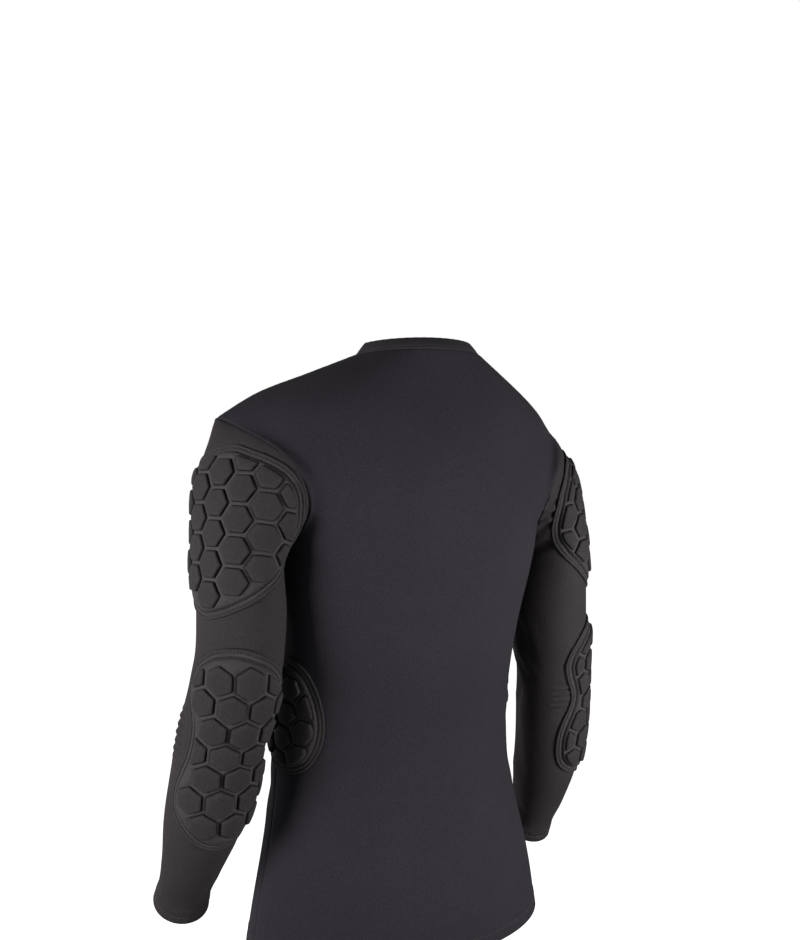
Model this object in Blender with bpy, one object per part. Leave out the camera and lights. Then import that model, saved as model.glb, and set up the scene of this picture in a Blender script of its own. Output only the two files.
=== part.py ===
"""Padded compression shirt: front and back panels, sleeves, collar band and six foam pads.

Metres, Z up. The front faces -Y and the wearer's left is +X. The origin is on the midline at the height
where the shoulder seams meet the collar, inside the neck opening.
"""

import bpy
import bmesh
import math
import numpy as np
from mathutils import Vector
from mathutils.geometry import delaunay_2d_cdt

WALL = 0.0014
BAND_WALL = 0.0024
SEAM = 0.00015
# Turned-up height of the hem and the cuffs, and how much they stand out
HEM = 0.020
CUFF = 0.018
FOLD = 0.0007
# Collar band: height, and its lean in towards the neck against its rise
BAND = 0.017
BAND_LEAN = (0.62, 0.80)
# Cells across a panel, and round half a sleeve
N_SIDE = 20
N_HALF = 12

KNIT = (0.028, 0.026, 0.030)
SLEEVE_KNIT = (0.036, 0.033, 0.036)
PAD_KNIT = (0.034, 0.031, 0.033)

# Pads: outline points in millimetres on the flat, across towards the back and along upwards
SHOULDER_OUT = [
    (6, 215), (25, 215), (45, 208), (67, 199.5), (87, 188), (99, 175), (106, 160), (108, 145),
    (109, 129), (107, 112), (100, 94), (87, 77), (71, 62.5), (57, 51), (41, 42), (20, 34), (-2, 31),
    (-22, 37), (-40, 49), (-55, 66), (-67, 88), (-75, 112), (-78, 136), (-74, 159), (-63, 180),
    (-45, 197), (-20, 210),
]
ELBOW_OUT = [
    (-5, 330), (10, 336), (31, 338), (49, 334.5), (67, 328), (84, 318), (97, 305), (103, 289),
    (101, 273), (96, 257), (94, 241), (98, 225), (105, 207), (110, 188), (110, 170), (106, 154),
    (97, 141), (83, 131), (67, 124), (52, 119.5), (38, 119), (25, 122.5), (13, 129), (3, 136.5),
    (-7, 145.5), (-14, 156), (-17, 170), (-16, 184), (-12, 199), (-8, 216), (-8, 232), (-11, 247),
    (-18, 259), (-27, 270), (-33, 285), (-30, 302), (-20, 318),
]
RIB_OUT = [
    (15, 214), (32, 210), (45, 201), (54, 189), (62, 171), (67, 153), (69, 137), (68, 121), (64, 106),
    (56, 92), (45, 84), (29, 79), (10, 79), (-8, 85), (-24, 97), (-36, 116), (-41, 140), (-40, 162),
    (-33, 182), (-20, 198), (-3, 210),
]
# name, outline, hexagon pitch across flats, lean in degrees, one cell's centre, outline step (millimetres)
PADS = [
    ("shoulder", SHOULDER_OUT, 32.0, -5.0, (38, 134), 9.0),
    ("elbow", ELBOW_OUT, 30.5, 35.0, (40, 176), 8.0),
    ("rib", RIB_OUT, 29.5, -9.0, (45, 131), 8.0),
]
# The right sleeve sits turned forward on its arm, which moves its pads round it by these lengths, in metres
RIGHT_TURN = {"shoulder": -0.003, "elbow": -0.042, "rib": 0.0}
# Heights over the pad's underside, in metres: that side over the cloth, flange, groove, cell, and its middle
BASE = 0.0016
FLANGE = 0.0022
FLOOR = 0.0030
CELL = 0.0076
CROWN = 0.0005
# Widths in millimetres: the flange, half a groove, and the slope at a cell's edge
FLANGE_WIDTH = 11.0
HALF_GROOVE = 2.1
RISE = 1.7


# Body rows from hem to neck. Side columns are shared by front and back.
# name, side x, side y, side z
SIDE_ROWS = [
    ("hem", 0.186, -0.008, -0.671),
    ("hip", 0.177, -0.010, -0.615),
    ("low", 0.163, -0.013, -0.550),
    ("waist", 0.152, -0.020, -0.480),
    ("flank", 0.150, -0.015, -0.415),
    ("ribs", 0.152, -0.004, -0.340),
    ("lats", 0.155, 0.006, -0.285),
    ("chest", 0.159, 0.012, -0.244),
    ("armpit", 0.161, 0.014, -0.214),
]
# name, side x, side y, side z: each panel's own armhole edge, from armpit to shoulder tip
BACK_ARMHOLE = [
    ("a1", 0.159, 0.054, -0.200),
    ("a2", 0.157, 0.080, -0.174),
    ("a3", 0.163, 0.087, -0.150),
    ("a4", 0.174, 0.085, -0.128),
    ("a5", 0.187, 0.069, -0.110),
    ("a6", 0.209, 0.028, -0.088),
]
FRONT_ARMHOLE = [
    ("a1", 0.153, -0.018, -0.202),
    ("a2", 0.148, -0.042, -0.180),
    ("a3", 0.150, -0.056, -0.154),
    ("a4", 0.160, -0.060, -0.130),
    ("a5", 0.178, -0.052, -0.110),
    ("a6", 0.204, -0.040, -0.090),
]
SHOULDER_ROWS = [
    ("tip", 0.223, -0.022, -0.073),
    ("s1", 0.181, -0.009, -0.045),
    ("s2", 0.130, 0.012, -0.023),
    ("neck", 0.076, 0.034, 0.000),
]
# name, centre y, centre z, turn at the side in degrees, fullness towards centre, fullness towards side
BACK_MID = [
    ("hem", 0.111, -0.673, 90, 0.60, 0.58),
    ("hip", 0.112, -0.617, 90, 0.60, 0.58),
    ("low", 0.098, -0.552, 90, 0.60, 0.58),
    ("waist", 0.077, -0.482, 90, 0.60, 0.58),
    ("flank", 0.076, -0.416, 90, 0.60, 0.58),
    ("ribs", 0.090, -0.341, 90, 0.66, 0.62),
    ("lats", 0.102, -0.286, 90, 0.68, 0.66),
    ("chest", 0.110, -0.245, 90, 0.72, 0.76),
    ("armpit", 0.115, -0.216, 88, 0.74, 0.82),
    ("a1", 0.117, -0.200, 75, 0.74, 0.74),
    ("a2", 0.119, -0.176, 50, 0.70, 0.55),
    ("a3", 0.120, -0.152, 30, 0.62, 0.45),
    ("a4", 0.120, -0.129, 28, 0.62, 0.45),
    ("a5", 0.120, -0.110, 38, 0.62, 0.45),
    ("a6", 0.119, -0.090, 60, 0.62, 0.50),
    ("tip", 0.118, -0.077, 84, 0.62, 0.55),
    ("s1", 0.115, -0.053, 88, 0.60, 0.55),
    ("s2", 0.110, -0.026, 90, 0.58, 0.56),
    ("neck", 0.106, 0.003, 90, 0.56, 0.56),
]
FRONT_MID = [
    ("hem", -0.127, -0.676, 90, 0.58, 0.57),
    ("hip", -0.121, -0.620, 90, 0.58, 0.57),
    ("low", -0.117, -0.555, 90, 0.58, 0.57),
    ("waist", -0.115, -0.484, 90, 0.58, 0.57),
    ("flank", -0.113, -0.418, 90, 0.58, 0.57),
    ("ribs", -0.110, -0.343, 90, 0.60, 0.58),
    ("lats", -0.110, -0.288, 90, 0.62, 0.60),
    ("chest", -0.110, -0.247, 90, 0.64, 0.60),
    ("armpit", -0.108, -0.220, 88, 0.64, 0.60),
    ("a1", -0.107, -0.206, 78, 0.64, 0.58),
    ("a2", -0.104, -0.186, 60, 0.62, 0.50),
    ("a3", -0.099, -0.164, 45, 0.60, 0.45),
    ("a4", -0.093, -0.144, 40, 0.60, 0.45),
    ("a5", -0.087, -0.128, 48, 0.60, 0.45),
    ("a6", -0.079, -0.113, 62, 0.60, 0.50),
    ("tip", -0.073, -0.104, 84, 0.60, 0.55),
    ("s1", -0.061, -0.089, 88, 0.58, 0.55),
    ("s2", -0.048, -0.074, 90, 0.57, 0.56),
    ("neck", -0.037, -0.060, 90, 0.56, 0.56),
]

# Sleeve rings, armpit level to cuff: centre x, y, z and radii out, back, in, front
SLEEVE_ROWS = [
    ("top", 0.2020, 0.005, -0.238, 0.050, 0.071, 0.038, 0.052),
    ("biceps", 0.2055, 0.013, -0.285, 0.049, 0.062, 0.045, 0.051),
    ("above_elbow", 0.2095, 0.017, -0.335, 0.047, 0.053, 0.045, 0.052),
    ("crook", 0.2150, 0.010, -0.372, 0.046, 0.052, 0.045, 0.053),
    ("below_elbow", 0.2235, -0.001, -0.418, 0.046, 0.051, 0.045, 0.053),
    ("forearm", 0.2310, -0.015, -0.480, 0.046, 0.049, 0.044, 0.048),
    ("mid", 0.2380, -0.030, -0.530, 0.041, 0.044, 0.041, 0.040),
    ("low", 0.2430, -0.045, -0.570, 0.034, 0.034, 0.034, 0.035),
    ("wrist", 0.2450, -0.060, -0.598, 0.030, 0.030, 0.030, 0.031),
    ("cuff", 0.2460, -0.074, -0.624, 0.031, 0.031, 0.031, 0.033),
]
# Way the sleeve leaves the armhole: angle round the arm (0 out, 90 back, 180 in, 270 front), dx, dy, dz
LEAVE = [
    (0, 0.80, 0.00, -0.60),
    (30, 0.80, 0.05, -0.60),
    (60, 0.75, -0.10, -0.62),
    (90, 0.55, -0.15, -0.80),
    (120, 0.40, -0.25, -0.88),
    (150, 0.30, -0.20, -0.93),
    (180, 0.20, 0.00, -0.98),
    (210, 0.30, 0.20, -0.93),
    (240, 0.45, 0.25, -0.86),
    (270, 0.60, 0.15, -0.78),
    (300, 0.75, 0.10, -0.62),
    (330, 0.80, 0.00, -0.60),
    (360, 0.80, 0.00, -0.60),
]


def slopes(x, y):
    """Slope of a smooth line at each of its knots."""
    h = np.diff(x)[:, None]
    d = np.diff(y, axis=0) / h
    m = np.empty_like(y)
    m[0], m[-1] = d[0], d[-1]
    m[1:-1] = (d[:-1] * h[1:] + d[1:] * h[:-1]) / (h[1:] + h[:-1])
    return m


def spline(x, y, at, breaks=()):
    """Smooth values through the rows; a break is a knot where the slope may jump."""
    x = np.asarray(x, float)
    y = np.asarray(y, float)
    if y.ndim == 1:
        y = y[:, None]
    at = np.asarray(at, float)
    shape = at.shape
    at = at.ravel()
    out = np.empty((len(at), y.shape[1]))
    cuts = [0, *breaks, len(x) - 1]
    for a, b in zip(cuts[:-1], cuts[1:]):
        xs, ys = x[a : b + 1], y[a : b + 1]
        m = slopes(xs, ys)
        sel = (at >= xs[0] - 1e-12) & (at <= xs[-1] + 1e-12)
        if a == 0:
            sel |= at < xs[0]
        if b == len(x) - 1:
            sel |= at > xs[-1]
        t = np.clip(at[sel], xs[0], xs[-1])
        i = np.clip(np.searchsorted(xs, t, side="right") - 1, 0, len(xs) - 2)
        h = (xs[i + 1] - xs[i])[:, None]
        s = ((t - xs[i]) / (xs[i + 1] - xs[i]))[:, None]
        out[sel] = (
            ys[i] * (1 + 2 * s) * (1 - s) ** 2
            + m[i] * h * s * (1 - s) ** 2
            + ys[i + 1] * s * s * (3 - 2 * s)
            - m[i + 1] * h * s * s * (1 - s)
        )
    return out.reshape(shape + (y.shape[1],))


def body_table(back):
    """One row a station up the body: side x, y, z, then centre y, z, turn and the two fullnesses."""
    side = SIDE_ROWS + (BACK_ARMHOLE if back else FRONT_ARMHOLE) + SHOULDER_ROWS
    mid = BACK_MID if back else FRONT_MID
    return np.array([list(s[1:]) + list(m[1:]) for s, m in zip(side, mid)], float)


# Rows of the body table where the side seam becomes the armhole, and the armhole the shoulder seam
ARMPIT = 8
TIP = 15
KNOTS = []


def body_knots():
    """Length up the body at each row, the mean of the side's and the centre's, one for front and back."""
    if not KNOTS:
        table = body_table(True)
        side = table[:, :3]
        mid = np.column_stack([np.zeros(len(table)), table[:, 3], table[:, 4]])
        step = [np.linalg.norm(np.diff(line, axis=0), axis=1) for line in (side, mid)]
        KNOTS.append(np.concatenate([[0], np.cumsum(0.5 * (step[0] + step[1]))]))
    return KNOTS[0]


def body_raw(back, t, u):
    """Point of the cloth's outer face: t up the body in metres, u from -1 at its right to 1 at its left."""
    k = body_knots()
    tab = body_table(back)
    t = np.asarray(t, float)
    u = np.asarray(u, float)
    ends = spline(k, tab[:, :3], t, breaks=(ARMPIT, TIP))
    mid = spline(k, tab[:, 3:], t)
    s = 1.0 if back else -1.0
    ex, ey, ez = ends[..., 0], ends[..., 1], ends[..., 2]
    cy, cz, turn, f0, f1 = (mid[..., i] for i in range(5))
    turn = np.radians(turn)
    rise = s * (cy - ey)
    qx = ex - rise / np.tan(turn)
    b = np.abs(u)
    w0, w1, w2, w3 = (1 - b) ** 3, 3 * b * (1 - b) ** 2, 3 * b * b * (1 - b), b**3
    x = w1 * f0 * qx + w2 * (ex + f1 * (qx - ex)) + w3 * ex
    y = w0 * cy + w1 * cy + w2 * (ey + f1 * (cy - ey)) + w3 * ey
    z = (w0 + w1) * cz + w2 * (cz + 0.6 * (ez - cz)) + w3 * ez
    return np.stack([x * np.sign(u), y, z], -1)


GRID = {}


def body_grid(back):
    """The outer face sampled finely, with rows evened out away from the side edges."""
    if back not in GRID:
        k = body_knots()
        ts = np.linspace(0, k[-1], 121)
        us = np.linspace(-1, 1, 61)
        g = body_raw(back, *np.meshgrid(ts, us, indexing="ij"))
        w = np.clip((1 - np.abs(us)) / 0.22, 0, 1)
        w = (0.5 * w * w * (3 - 2 * w))[None, :, None]
        for _ in range(60):
            g[1:-1] += w * (0.5 * (g[2:] + g[:-2]) - g[1:-1])
        GRID[back] = (ts, us, g)
    return GRID[back]


def cubic_weights(xs, x):
    """The four grid lines round x and their shares in a smooth lookup, straight beyond the first and last."""
    n = len(xs)
    f = np.clip((x - xs[0]) / (xs[1] - xs[0]), 0, n - 1)
    i = np.clip(f.astype(int), 0, n - 2)
    s = f - i
    before = -0.5 * s + s**2 - 0.5 * s**3
    here = 1 - 2.5 * s**2 + 1.5 * s**3
    ahead = 0.5 * s + 2 * s**2 - 1.5 * s**3
    beyond = -0.5 * s**2 + 0.5 * s**3
    first = i == 0
    here = np.where(first, here + 2 * before, here)
    ahead = np.where(first, ahead - before, ahead)
    before = np.where(first, 0, before)
    last = i == n - 2
    here = np.where(last, here - beyond, here)
    ahead = np.where(last, ahead + 2 * beyond, ahead)
    beyond = np.where(last, 0, beyond)
    return [np.clip(i + d, 0, n - 1) for d in (-1, 0, 1, 2)], (before, here, ahead, beyond)


def table_at(ts, us, g, t, u):
    """Smooth lookup in a regular grid."""
    it, ct = cubic_weights(ts, t)
    iu, cu = cubic_weights(us, u)
    out = 0
    for a in range(4):
        for b in range(4):
            out = out + g[it[a], iu[b]] * (ct[a] * cu[b])[..., None]
    return out


def body_point(back, t, u):
    """The same with the lines across evened out over the shoulder blades and the chest."""
    t, u = np.broadcast_arrays(np.asarray(t, float), np.asarray(u, float))
    p = table_at(*body_grid(back), t, u)
    end = np.where(u < 0, -1.0, 1.0)
    off = body_raw(back, t, end) - table_at(*body_grid(back), t, end)
    near_side = np.clip((np.abs(u) - 0.93) / 0.07, 0, 1)[..., None]
    return p + off * near_side


def armhole(theta):
    """Armhole loop of the left sleeve at an angle in degrees: 0 tip, 90 back, 180 armpit, 270 front."""
    k = body_knots()
    th = np.asarray(theta, float) % 360
    back = th <= 180
    f = np.where(back, th, 360 - th) / 180.0
    t = k[TIP] + (k[ARMPIT] - k[TIP]) * f
    pb = body_point(True, t, np.ones_like(t))
    pf = body_point(False, t, np.ones_like(t))
    return np.where(back[..., None], pb, pf)


def sleeve_knots():
    """Length along the arm at each sleeve ring."""
    c = np.array([r[1:4] for r in SLEEVE_ROWS])
    return np.concatenate([[0], np.cumsum(np.linalg.norm(np.diff(c, axis=0), axis=1))])


def sleeve_frame(s):
    """Centre, outward and backward directions, and the four radii, at a length along the arm."""
    k = sleeve_knots()
    tab = np.array([r[1:] for r in SLEEVE_ROWS])
    step = 0.002
    c = spline(k, tab[:, :3], s)
    ahead = spline(k, tab[:, :3], np.clip(s + step, 0, k[-1]))
    d = ahead - spline(k, tab[:, :3], np.clip(s - step, 0, k[-1]))
    d /= np.linalg.norm(d, axis=-1, keepdims=True)
    out = np.zeros_like(d)
    out[..., 0] = 1
    out -= (out * d).sum(-1, keepdims=True) * d
    out /= np.linalg.norm(out, axis=-1, keepdims=True)
    back = np.cross(out, d)
    back *= np.sign(back[..., 1:2])
    r = spline(k, tab[:, 3:], s)
    return c, out, back, r


def sleeve_tube(s, theta):
    """Sleeve ring at a length along the arm, four quarter ellipses."""
    c, out, back, r = sleeve_frame(np.asarray(s, float))
    th = np.radians(theta)
    cs, sn = np.cos(th), np.sin(th)
    rx = np.where(cs >= 0, r[..., 0], r[..., 2])
    ry = np.where(sn >= 0, r[..., 1], r[..., 3])
    return c + out * (rx * cs)[..., None] + back * (ry * sn)[..., None]


def sleeve_raw(t, theta):
    """Outer face of the left sleeve: t from -1 at the armhole to 0 at the first ring, then metres on."""
    t = np.asarray(t, float)
    theta = np.asarray(theta, float)
    t, theta = np.broadcast_arrays(t, theta)
    tube = sleeve_tube(np.maximum(t, 0), theta)
    w = np.clip(t + 1, 0, 1)[..., None]
    lv = np.array(LEAVE, float)
    p0 = armhole(theta)
    p1 = sleeve_tube(np.zeros_like(t), theta)
    reach = 0.9 * np.linalg.norm(p1 - p0, axis=-1, keepdims=True)
    d0 = unit(spline(lv[:, 0], lv[:, 1:], theta % 360)) * reach
    d1 = unit(sleeve_tube(np.full_like(t, 0.004), theta) - p1) * reach
    cap = p0 * (1 + 2 * w) * (1 - w) ** 2 + d0 * w * (1 - w) ** 2
    cap += p1 * w * w * (3 - 2 * w) - d1 * w * w * (1 - w)
    return np.where((t < 0)[..., None], cap, tube)


CAP = []


def cap_grid():
    """The sleeve's cap sampled finely and evened out round the arm, from the armhole to the first ring."""
    if not CAP:
        ts = np.linspace(-1, 0, 41)
        round_arm = np.arange(0, 360, 3.0)
        g = sleeve_raw(ts[:, None], round_arm[None, :])
        w = np.clip((ts + 1) / 0.22, 0, 1) * np.clip(-ts / 0.30, 0, 1)
        w = (w * w * (3 - 2 * w))[:, None, None]
        from_outside = np.abs((round_arm + 180) % 360 - 180)
        w = w * np.clip((85 - from_outside) / 45, 0, 1)[None, :, None]
        for _ in range(60):
            g += 0.5 * w * (0.5 * (np.roll(g, 1, 1) + np.roll(g, -1, 1)) - g)
        overlap = 20
        full = np.concatenate([g[:, -overlap:], g, g[:, : overlap + 1]], 1)
        CAP.append((ts, np.arange(-3.0 * overlap, 360 + 3.0 * overlap + 1, 3.0), full))
    return CAP[0]


def sleeve_point(t, theta):
    """Outer face of the left sleeve, as sleeve_raw gives it, with its cap evened out."""
    t, theta = np.broadcast_arrays(np.asarray(t, float), np.asarray(theta, float) % 360)
    ts, th, g = cap_grid()
    cap = table_at(ts, th, g, np.minimum(t, 0), theta)
    top = np.full_like(t, -1.0)
    near_seam = np.clip((-0.93 - t) / 0.07, 0, 1)[..., None]
    cap = cap + (sleeve_raw(top, theta) - table_at(ts, th, g, top, theta)) * near_seam
    return np.where((t < 0)[..., None], cap, sleeve_raw(np.maximum(t, 0), theta))


def unit(v):
    """Vectors scaled to length 1."""
    return v / np.maximum(np.linalg.norm(v, axis=-1, keepdims=True), 1e-12)


def even_patch(lines, centre, us, vs):
    """Grid of points at even lengths: lines is one dense curve per station, centre its middle index."""
    mid = lines[:, centre]
    along = np.concatenate([[0], np.cumsum(np.linalg.norm(np.diff(mid, axis=0), axis=1))])
    out = np.empty((len(vs), len(us), 3))
    rows = np.empty((len(vs), lines.shape[1], 3))
    for j in range(lines.shape[1]):
        for c in range(3):
            rows[:, j, c] = np.interp(vs, along, lines[:, j, c])
    for i in range(len(vs)):
        r = rows[i]
        d = np.concatenate([[0], np.cumsum(np.linalg.norm(np.diff(r, axis=0), axis=1))])
        d -= d[centre]
        for c in range(3):
            out[i, :, c] = np.interp(us, d, r[:, c])
    return out


class Patch:
    """Flat pad coordinates in metres laid on a surface: u round it, v along it."""

    def __init__(self, us, vs, grid):
        g = grid.copy()
        g[1:-1] += 0.25 * (grid[2:] + grid[:-2] - 2 * grid[1:-1])
        smooth = g.copy()
        smooth[:, 1:-1] += 0.25 * (g[:, 2:] + g[:, :-2] - 2 * g[:, 1:-1])
        self.us, self.vs, self.grid = us, vs, smooth

    def at(self, u, v, h=0.0):
        u, v = np.broadcast_arrays(np.asarray(u, float), np.asarray(v, float))
        step = 0.002
        across = self.look(u + step, v) - self.look(u - step, v)
        along = self.look(u, v + step) - self.look(u, v - step)
        return self.look(u, v) + unit(np.cross(across, along)) * np.asarray(h, float)[..., None]

    def look(self, u, v):
        return table_at(self.vs, self.us, self.grid, v, u)


def shoulder_patch():
    """Lines round the shoulder and upper arm, about an axis up the arm, and the middle one's index."""
    up = unit(np.array([-0.08, -0.12, 0.99]))
    base = np.array([0.194, 0.010, -0.200])
    outw = unit(np.array([1.0, 0, 0]) - up * up[0])
    backw = np.cross(up, outw)
    th = np.arange(0, 360, 3.0)
    t = np.concatenate([np.linspace(-1, 0, 61)[:-1], np.linspace(0, 0.15, 61)])
    g = sleeve_point(t[:, None], th[None, :]) - base
    h = g @ up
    x, y = g @ outw, g @ backw
    hs = np.linspace(-0.125, 0.118, 100)
    psi = np.radians(np.arange(-115, 126, 2.0))
    rho = np.empty((len(hs), len(psi)))
    ang, rad = np.empty((len(hs), len(th))), np.empty((len(hs), len(th)))
    for j in range(len(th)):
        o = np.argsort(h[:, j])
        ang[:, j] = np.interp(hs, h[o, j], np.unwrap(np.arctan2(y[:, j], x[:, j]))[o])
        rad[:, j] = np.interp(hs, h[o, j], np.hypot(x[:, j], y[:, j])[o])
        ang[:, j] = (ang[:, j] + math.pi) % (2 * math.pi) - math.pi
    for i in range(len(hs)):
        o = np.argsort(ang[i])
        a, r = ang[i][o], rad[i][o]
        turned = np.concatenate([a - 2 * math.pi, a, a + 2 * math.pi])
        rho[i] = np.interp(psi, turned, np.concatenate([r, r, r]))
    lines = base + up * hs[:, None, None]
    lines = lines + outw * (rho * np.cos(psi))[..., None] + backw * (rho * np.sin(psi))[..., None]
    centre = int(np.argmin(np.abs(psi - math.radians(20))))
    return lines, centre


def elbow_patch():
    """Rings of the sleeve from the cuff upwards, opened at the front of the arm."""
    ss = np.linspace(0.03, sleeve_knots()[-1], 100)
    ths = np.arange(30 - 165, 30 + 166, 3.0)
    lines = sleeve_point(ss[:, None], ths[None, :])[::-1]
    return lines, len(ths) // 2


def rib_patch():
    """Rows of the body across the left side seam, from front to back."""
    k = body_knots()
    ts = np.linspace(k[2], k[ARMPIT], 80)
    w = np.linspace(0, 1, 61)
    fr = body_point(False, ts[:, None], 1 - 0.75 * w[::-1][None, :])
    bk = body_point(True, ts[:, None], 1 - 0.75 * w[None, :])
    lines = np.concatenate([fr, bk[:, 1:]], 1)
    return lines, 60


def make_patches():
    """The surface under each kind of pad on the left side, opened flat."""
    out = {}
    spans = (("shoulder", shoulder_patch, 0.125), ("elbow", elbow_patch, 0.125), ("rib", rib_patch, 0.085))
    for name, make_lines, span in spans:
        lines, middle = make_lines()
        total = np.linalg.norm(np.diff(lines[:, middle], axis=0), axis=1).sum()
        us = np.arange(-span, span + 1e-9, 0.004)
        vs = np.arange(0, total, 0.004)
        out[name] = Patch(us, vs, even_patch(lines, middle, us, vs))
    return out



def closed_curve(pts, step):
    """Smooth closed line through the points, at even steps."""
    p = np.array(pts, float)
    n = len(p)
    out = []
    for i in range(n):
        a, b, c, d = p[i - 1], p[i], p[(i + 1) % n], p[(i + 2) % n]
        for s in np.linspace(0, 1, 12, endpoint=False):
            bend = (2 * a - 5 * b + 4 * c - d) * s**2 + (3 * b - a - 3 * c + d) * s**3
            out.append(0.5 * (2 * b + (c - a) * s + bend))
    q = np.array(out + out[:1])
    d = np.concatenate([[0], np.cumsum(np.linalg.norm(np.diff(q, axis=0), axis=1))])
    m = int(round(d[-1] / step))
    at = np.linspace(0, d[-1], m, endpoint=False)
    return np.column_stack([np.interp(at, d, q[:, 0]), np.interp(at, d, q[:, 1])])


def area2(p):
    """Twice the area of a closed line, positive when it runs anticlockwise."""
    x, y = p[:, 0], p[:, 1]
    return float(np.sum(x * np.roll(y, -1) - y * np.roll(x, -1)))


def inset(p, d):
    """Closed line moved inwards by d."""
    t = np.roll(p, -1, axis=0) - np.roll(p, 1, axis=0)
    t /= np.linalg.norm(t, axis=1, keepdims=True)
    n = np.column_stack([-t[:, 1], t[:, 0]]) * (1 if area2(p) > 0 else -1)
    return p + n * d


def side_of(a, b, q):
    """Positive where q is to the left of the line from a to b."""
    return (b[0] - a[0]) * (q[1] - a[1]) - (b[1] - a[1]) * (q[0] - a[0])


def clip(poly, hexagon):
    """The part of a closed line inside a convex polygon."""
    out = [tuple(q) for q in poly]
    n = len(hexagon)
    for i in range(n):
        a, b = hexagon[i], hexagon[(i + 1) % n]
        new = []
        for j, q in enumerate(out):
            r = out[j - 1]
            sq, sr = side_of(a, b, q), side_of(a, b, r)
            if (sq >= 0) != (sr >= 0):
                f = sr / (sr - sq)
                new.append((r[0] + (q[0] - r[0]) * f, r[1] + (q[1] - r[1]) * f))
            if sq >= 0:
                new.append(q)
        out = new
        if not out:
            return np.zeros((0, 2))
    return np.array(out)


def tidy_loop(p, least):
    """Closed line without points nearer each other than the least distance."""
    keep = []
    for q in p:
        if not keep or math.dist(q, keep[-1]) > least:
            keep.append(tuple(q))
    while len(keep) > 2 and math.dist(keep[0], keep[-1]) <= least:
        keep.pop()
    return np.array(keep)


def centroid(p):
    """Centre of the area inside a closed line."""
    x, y = p[:, 0], p[:, 1]
    x1, y1 = np.roll(x, -1), np.roll(y, -1)
    c = x * y1 - x1 * y
    return np.array([((x + x1) * c).sum(), ((y + y1) * c).sum()]) / (3 * c.sum())


def inner_radius(p, c):
    """Distance from c to the nearest side of a closed line."""
    q = np.roll(p, -1, axis=0)
    d = (q - p) / np.linalg.norm(q - p, axis=1, keepdims=True)
    r = c - p
    return float(np.min(np.abs(d[:, 0] * r[:, 1] - d[:, 1] * r[:, 0])))


def pad_cells(outline, pitch, lean, centre):
    """Cell footprints: regular hexagons, cut where they meet the flange."""
    inner = inset(outline, FLANGE_WIDTH)
    ang = math.radians(lean)
    along = np.array([math.cos(ang), math.sin(ang)])
    across = np.array([-math.sin(ang), math.cos(ang)])
    r = (pitch / 2 - HALF_GROOVE) / math.cos(math.pi / 6)
    corners = [r * (along * math.cos(k * math.pi / 3) + across * math.sin(k * math.pi / 3)) for k in range(6)]
    cells = []
    for i in range(-9, 10):
        for j in range(-9, 10):
            at = np.array(centre) + i * pitch * math.sqrt(3) / 2 * along
            at = at + (j + 0.5 * (i % 2)) * pitch * across
            foot = clip(inner, [at + corner for corner in corners])
            if len(foot) < 3:
                continue
            foot = tidy_loop(foot, 2.0)
            if len(foot) < 3 or abs(area2(foot)) / 2 < 60:
                continue
            if area2(foot) < 0:
                foot = foot[::-1]
            c = centroid(foot)
            if inner_radius(foot, c) < 3.4:
                continue
            cells.append((foot, c))
    return cells


def triangles(points, loops):
    """Triangles filling the outer loop, keeping every given edge; gives faces on the given points."""
    edges = []
    for loop in loops:
        edges += [(loop[i], loop[(i + 1) % len(loop)]) for i in range(len(loop))]
    result = delaunay_2d_cdt([Vector(p) for p in points], edges, [], 1, 1e-5)
    faces, sources = result[2], result[3]
    index = [given[0] for given in sources]
    return [tuple(index[k] for k in f) for f in faces]


def pad_mesh(patch, outline_pts, pitch, lean, centre, step, turn):
    """Pad on the opened surface, moved round it by turn: flange, grooves and cells over a plain underside."""
    outline = closed_curve(outline_pts, step)
    if area2(outline) < 0:
        outline = outline[::-1]
    cells = pad_cells(outline, pitch, lean, centre)
    pts = [tuple(p) for p in outline]
    h = [FLANGE] * len(pts)
    n_rim = len(pts)
    loops = [list(range(n_rim))]
    for foot, c in cells:
        top = c + (foot - c) * (1 - RISE / inner_radius(foot, c))
        for ring, height in ((foot, FLOOR), (top, CELL)):
            loops.append(list(range(len(pts), len(pts) + len(ring))))
            pts += [tuple(p) for p in ring]
            h += [height] * len(ring)
        pts.append(tuple(c))
        h.append(CELL + CROWN)
    faces = triangles(pts, loops)
    lo, hi = outline.min(0), outline.max(0)
    base = [tuple(p) for p in outline]
    near = inset(outline, 5.5)
    for x in np.arange(lo[0], hi[0], 11.5):
        for y in np.arange(lo[1], hi[1], 11.5):
            if inside((x, y), near):
                base.append((x, y))
    under = triangles(base, [list(range(n_rim))])
    a = np.array(pts) / 1000
    b = np.array(base) / 1000
    up = patch.at(a[:, 0] + turn, a[:, 1], BASE + np.array(h))
    low = patch.at(b[:, 0] + turn, b[:, 1], np.full(len(b), BASE))
    verts = np.concatenate([up, low])
    k = len(up)
    all_faces = [tuple(f) for f in faces]
    all_faces += [(k + c, k + q, k + p) for p, q, c in under]
    for i in range(n_rim):
        j = (i + 1) % n_rim
        all_faces.append((i, k + i, k + j, j))
    return verts, all_faces


def inside(q, poly):
    """Whether a point lies within a closed line."""
    x, y = q
    odd = False
    n = len(poly)
    for i in range(n):
        (x0, y0), (x1, y1) = poly[i], poly[i - 1]
        if (y0 > y) != (y1 > y) and x < (x1 - x0) * (y - y0) / (y1 - y0) + x0:
            odd = not odd
    return odd


def body_rows():
    """Heights of a panel's grid rows, and the number of the row at the armpit."""
    k = body_knots()
    hem = np.array([0.0, HEM, HEM + 0.0015])
    low = np.linspace(HEM + 0.0015, k[ARMPIT], 12)[1:]
    arm = np.linspace(k[ARMPIT], k[TIP], N_HALF + 1)[1:]
    top = np.linspace(k[TIP], k[-1], 5)[1:]
    return np.concatenate([hem, low, arm, top]), 3 + len(low) - 1


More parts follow.
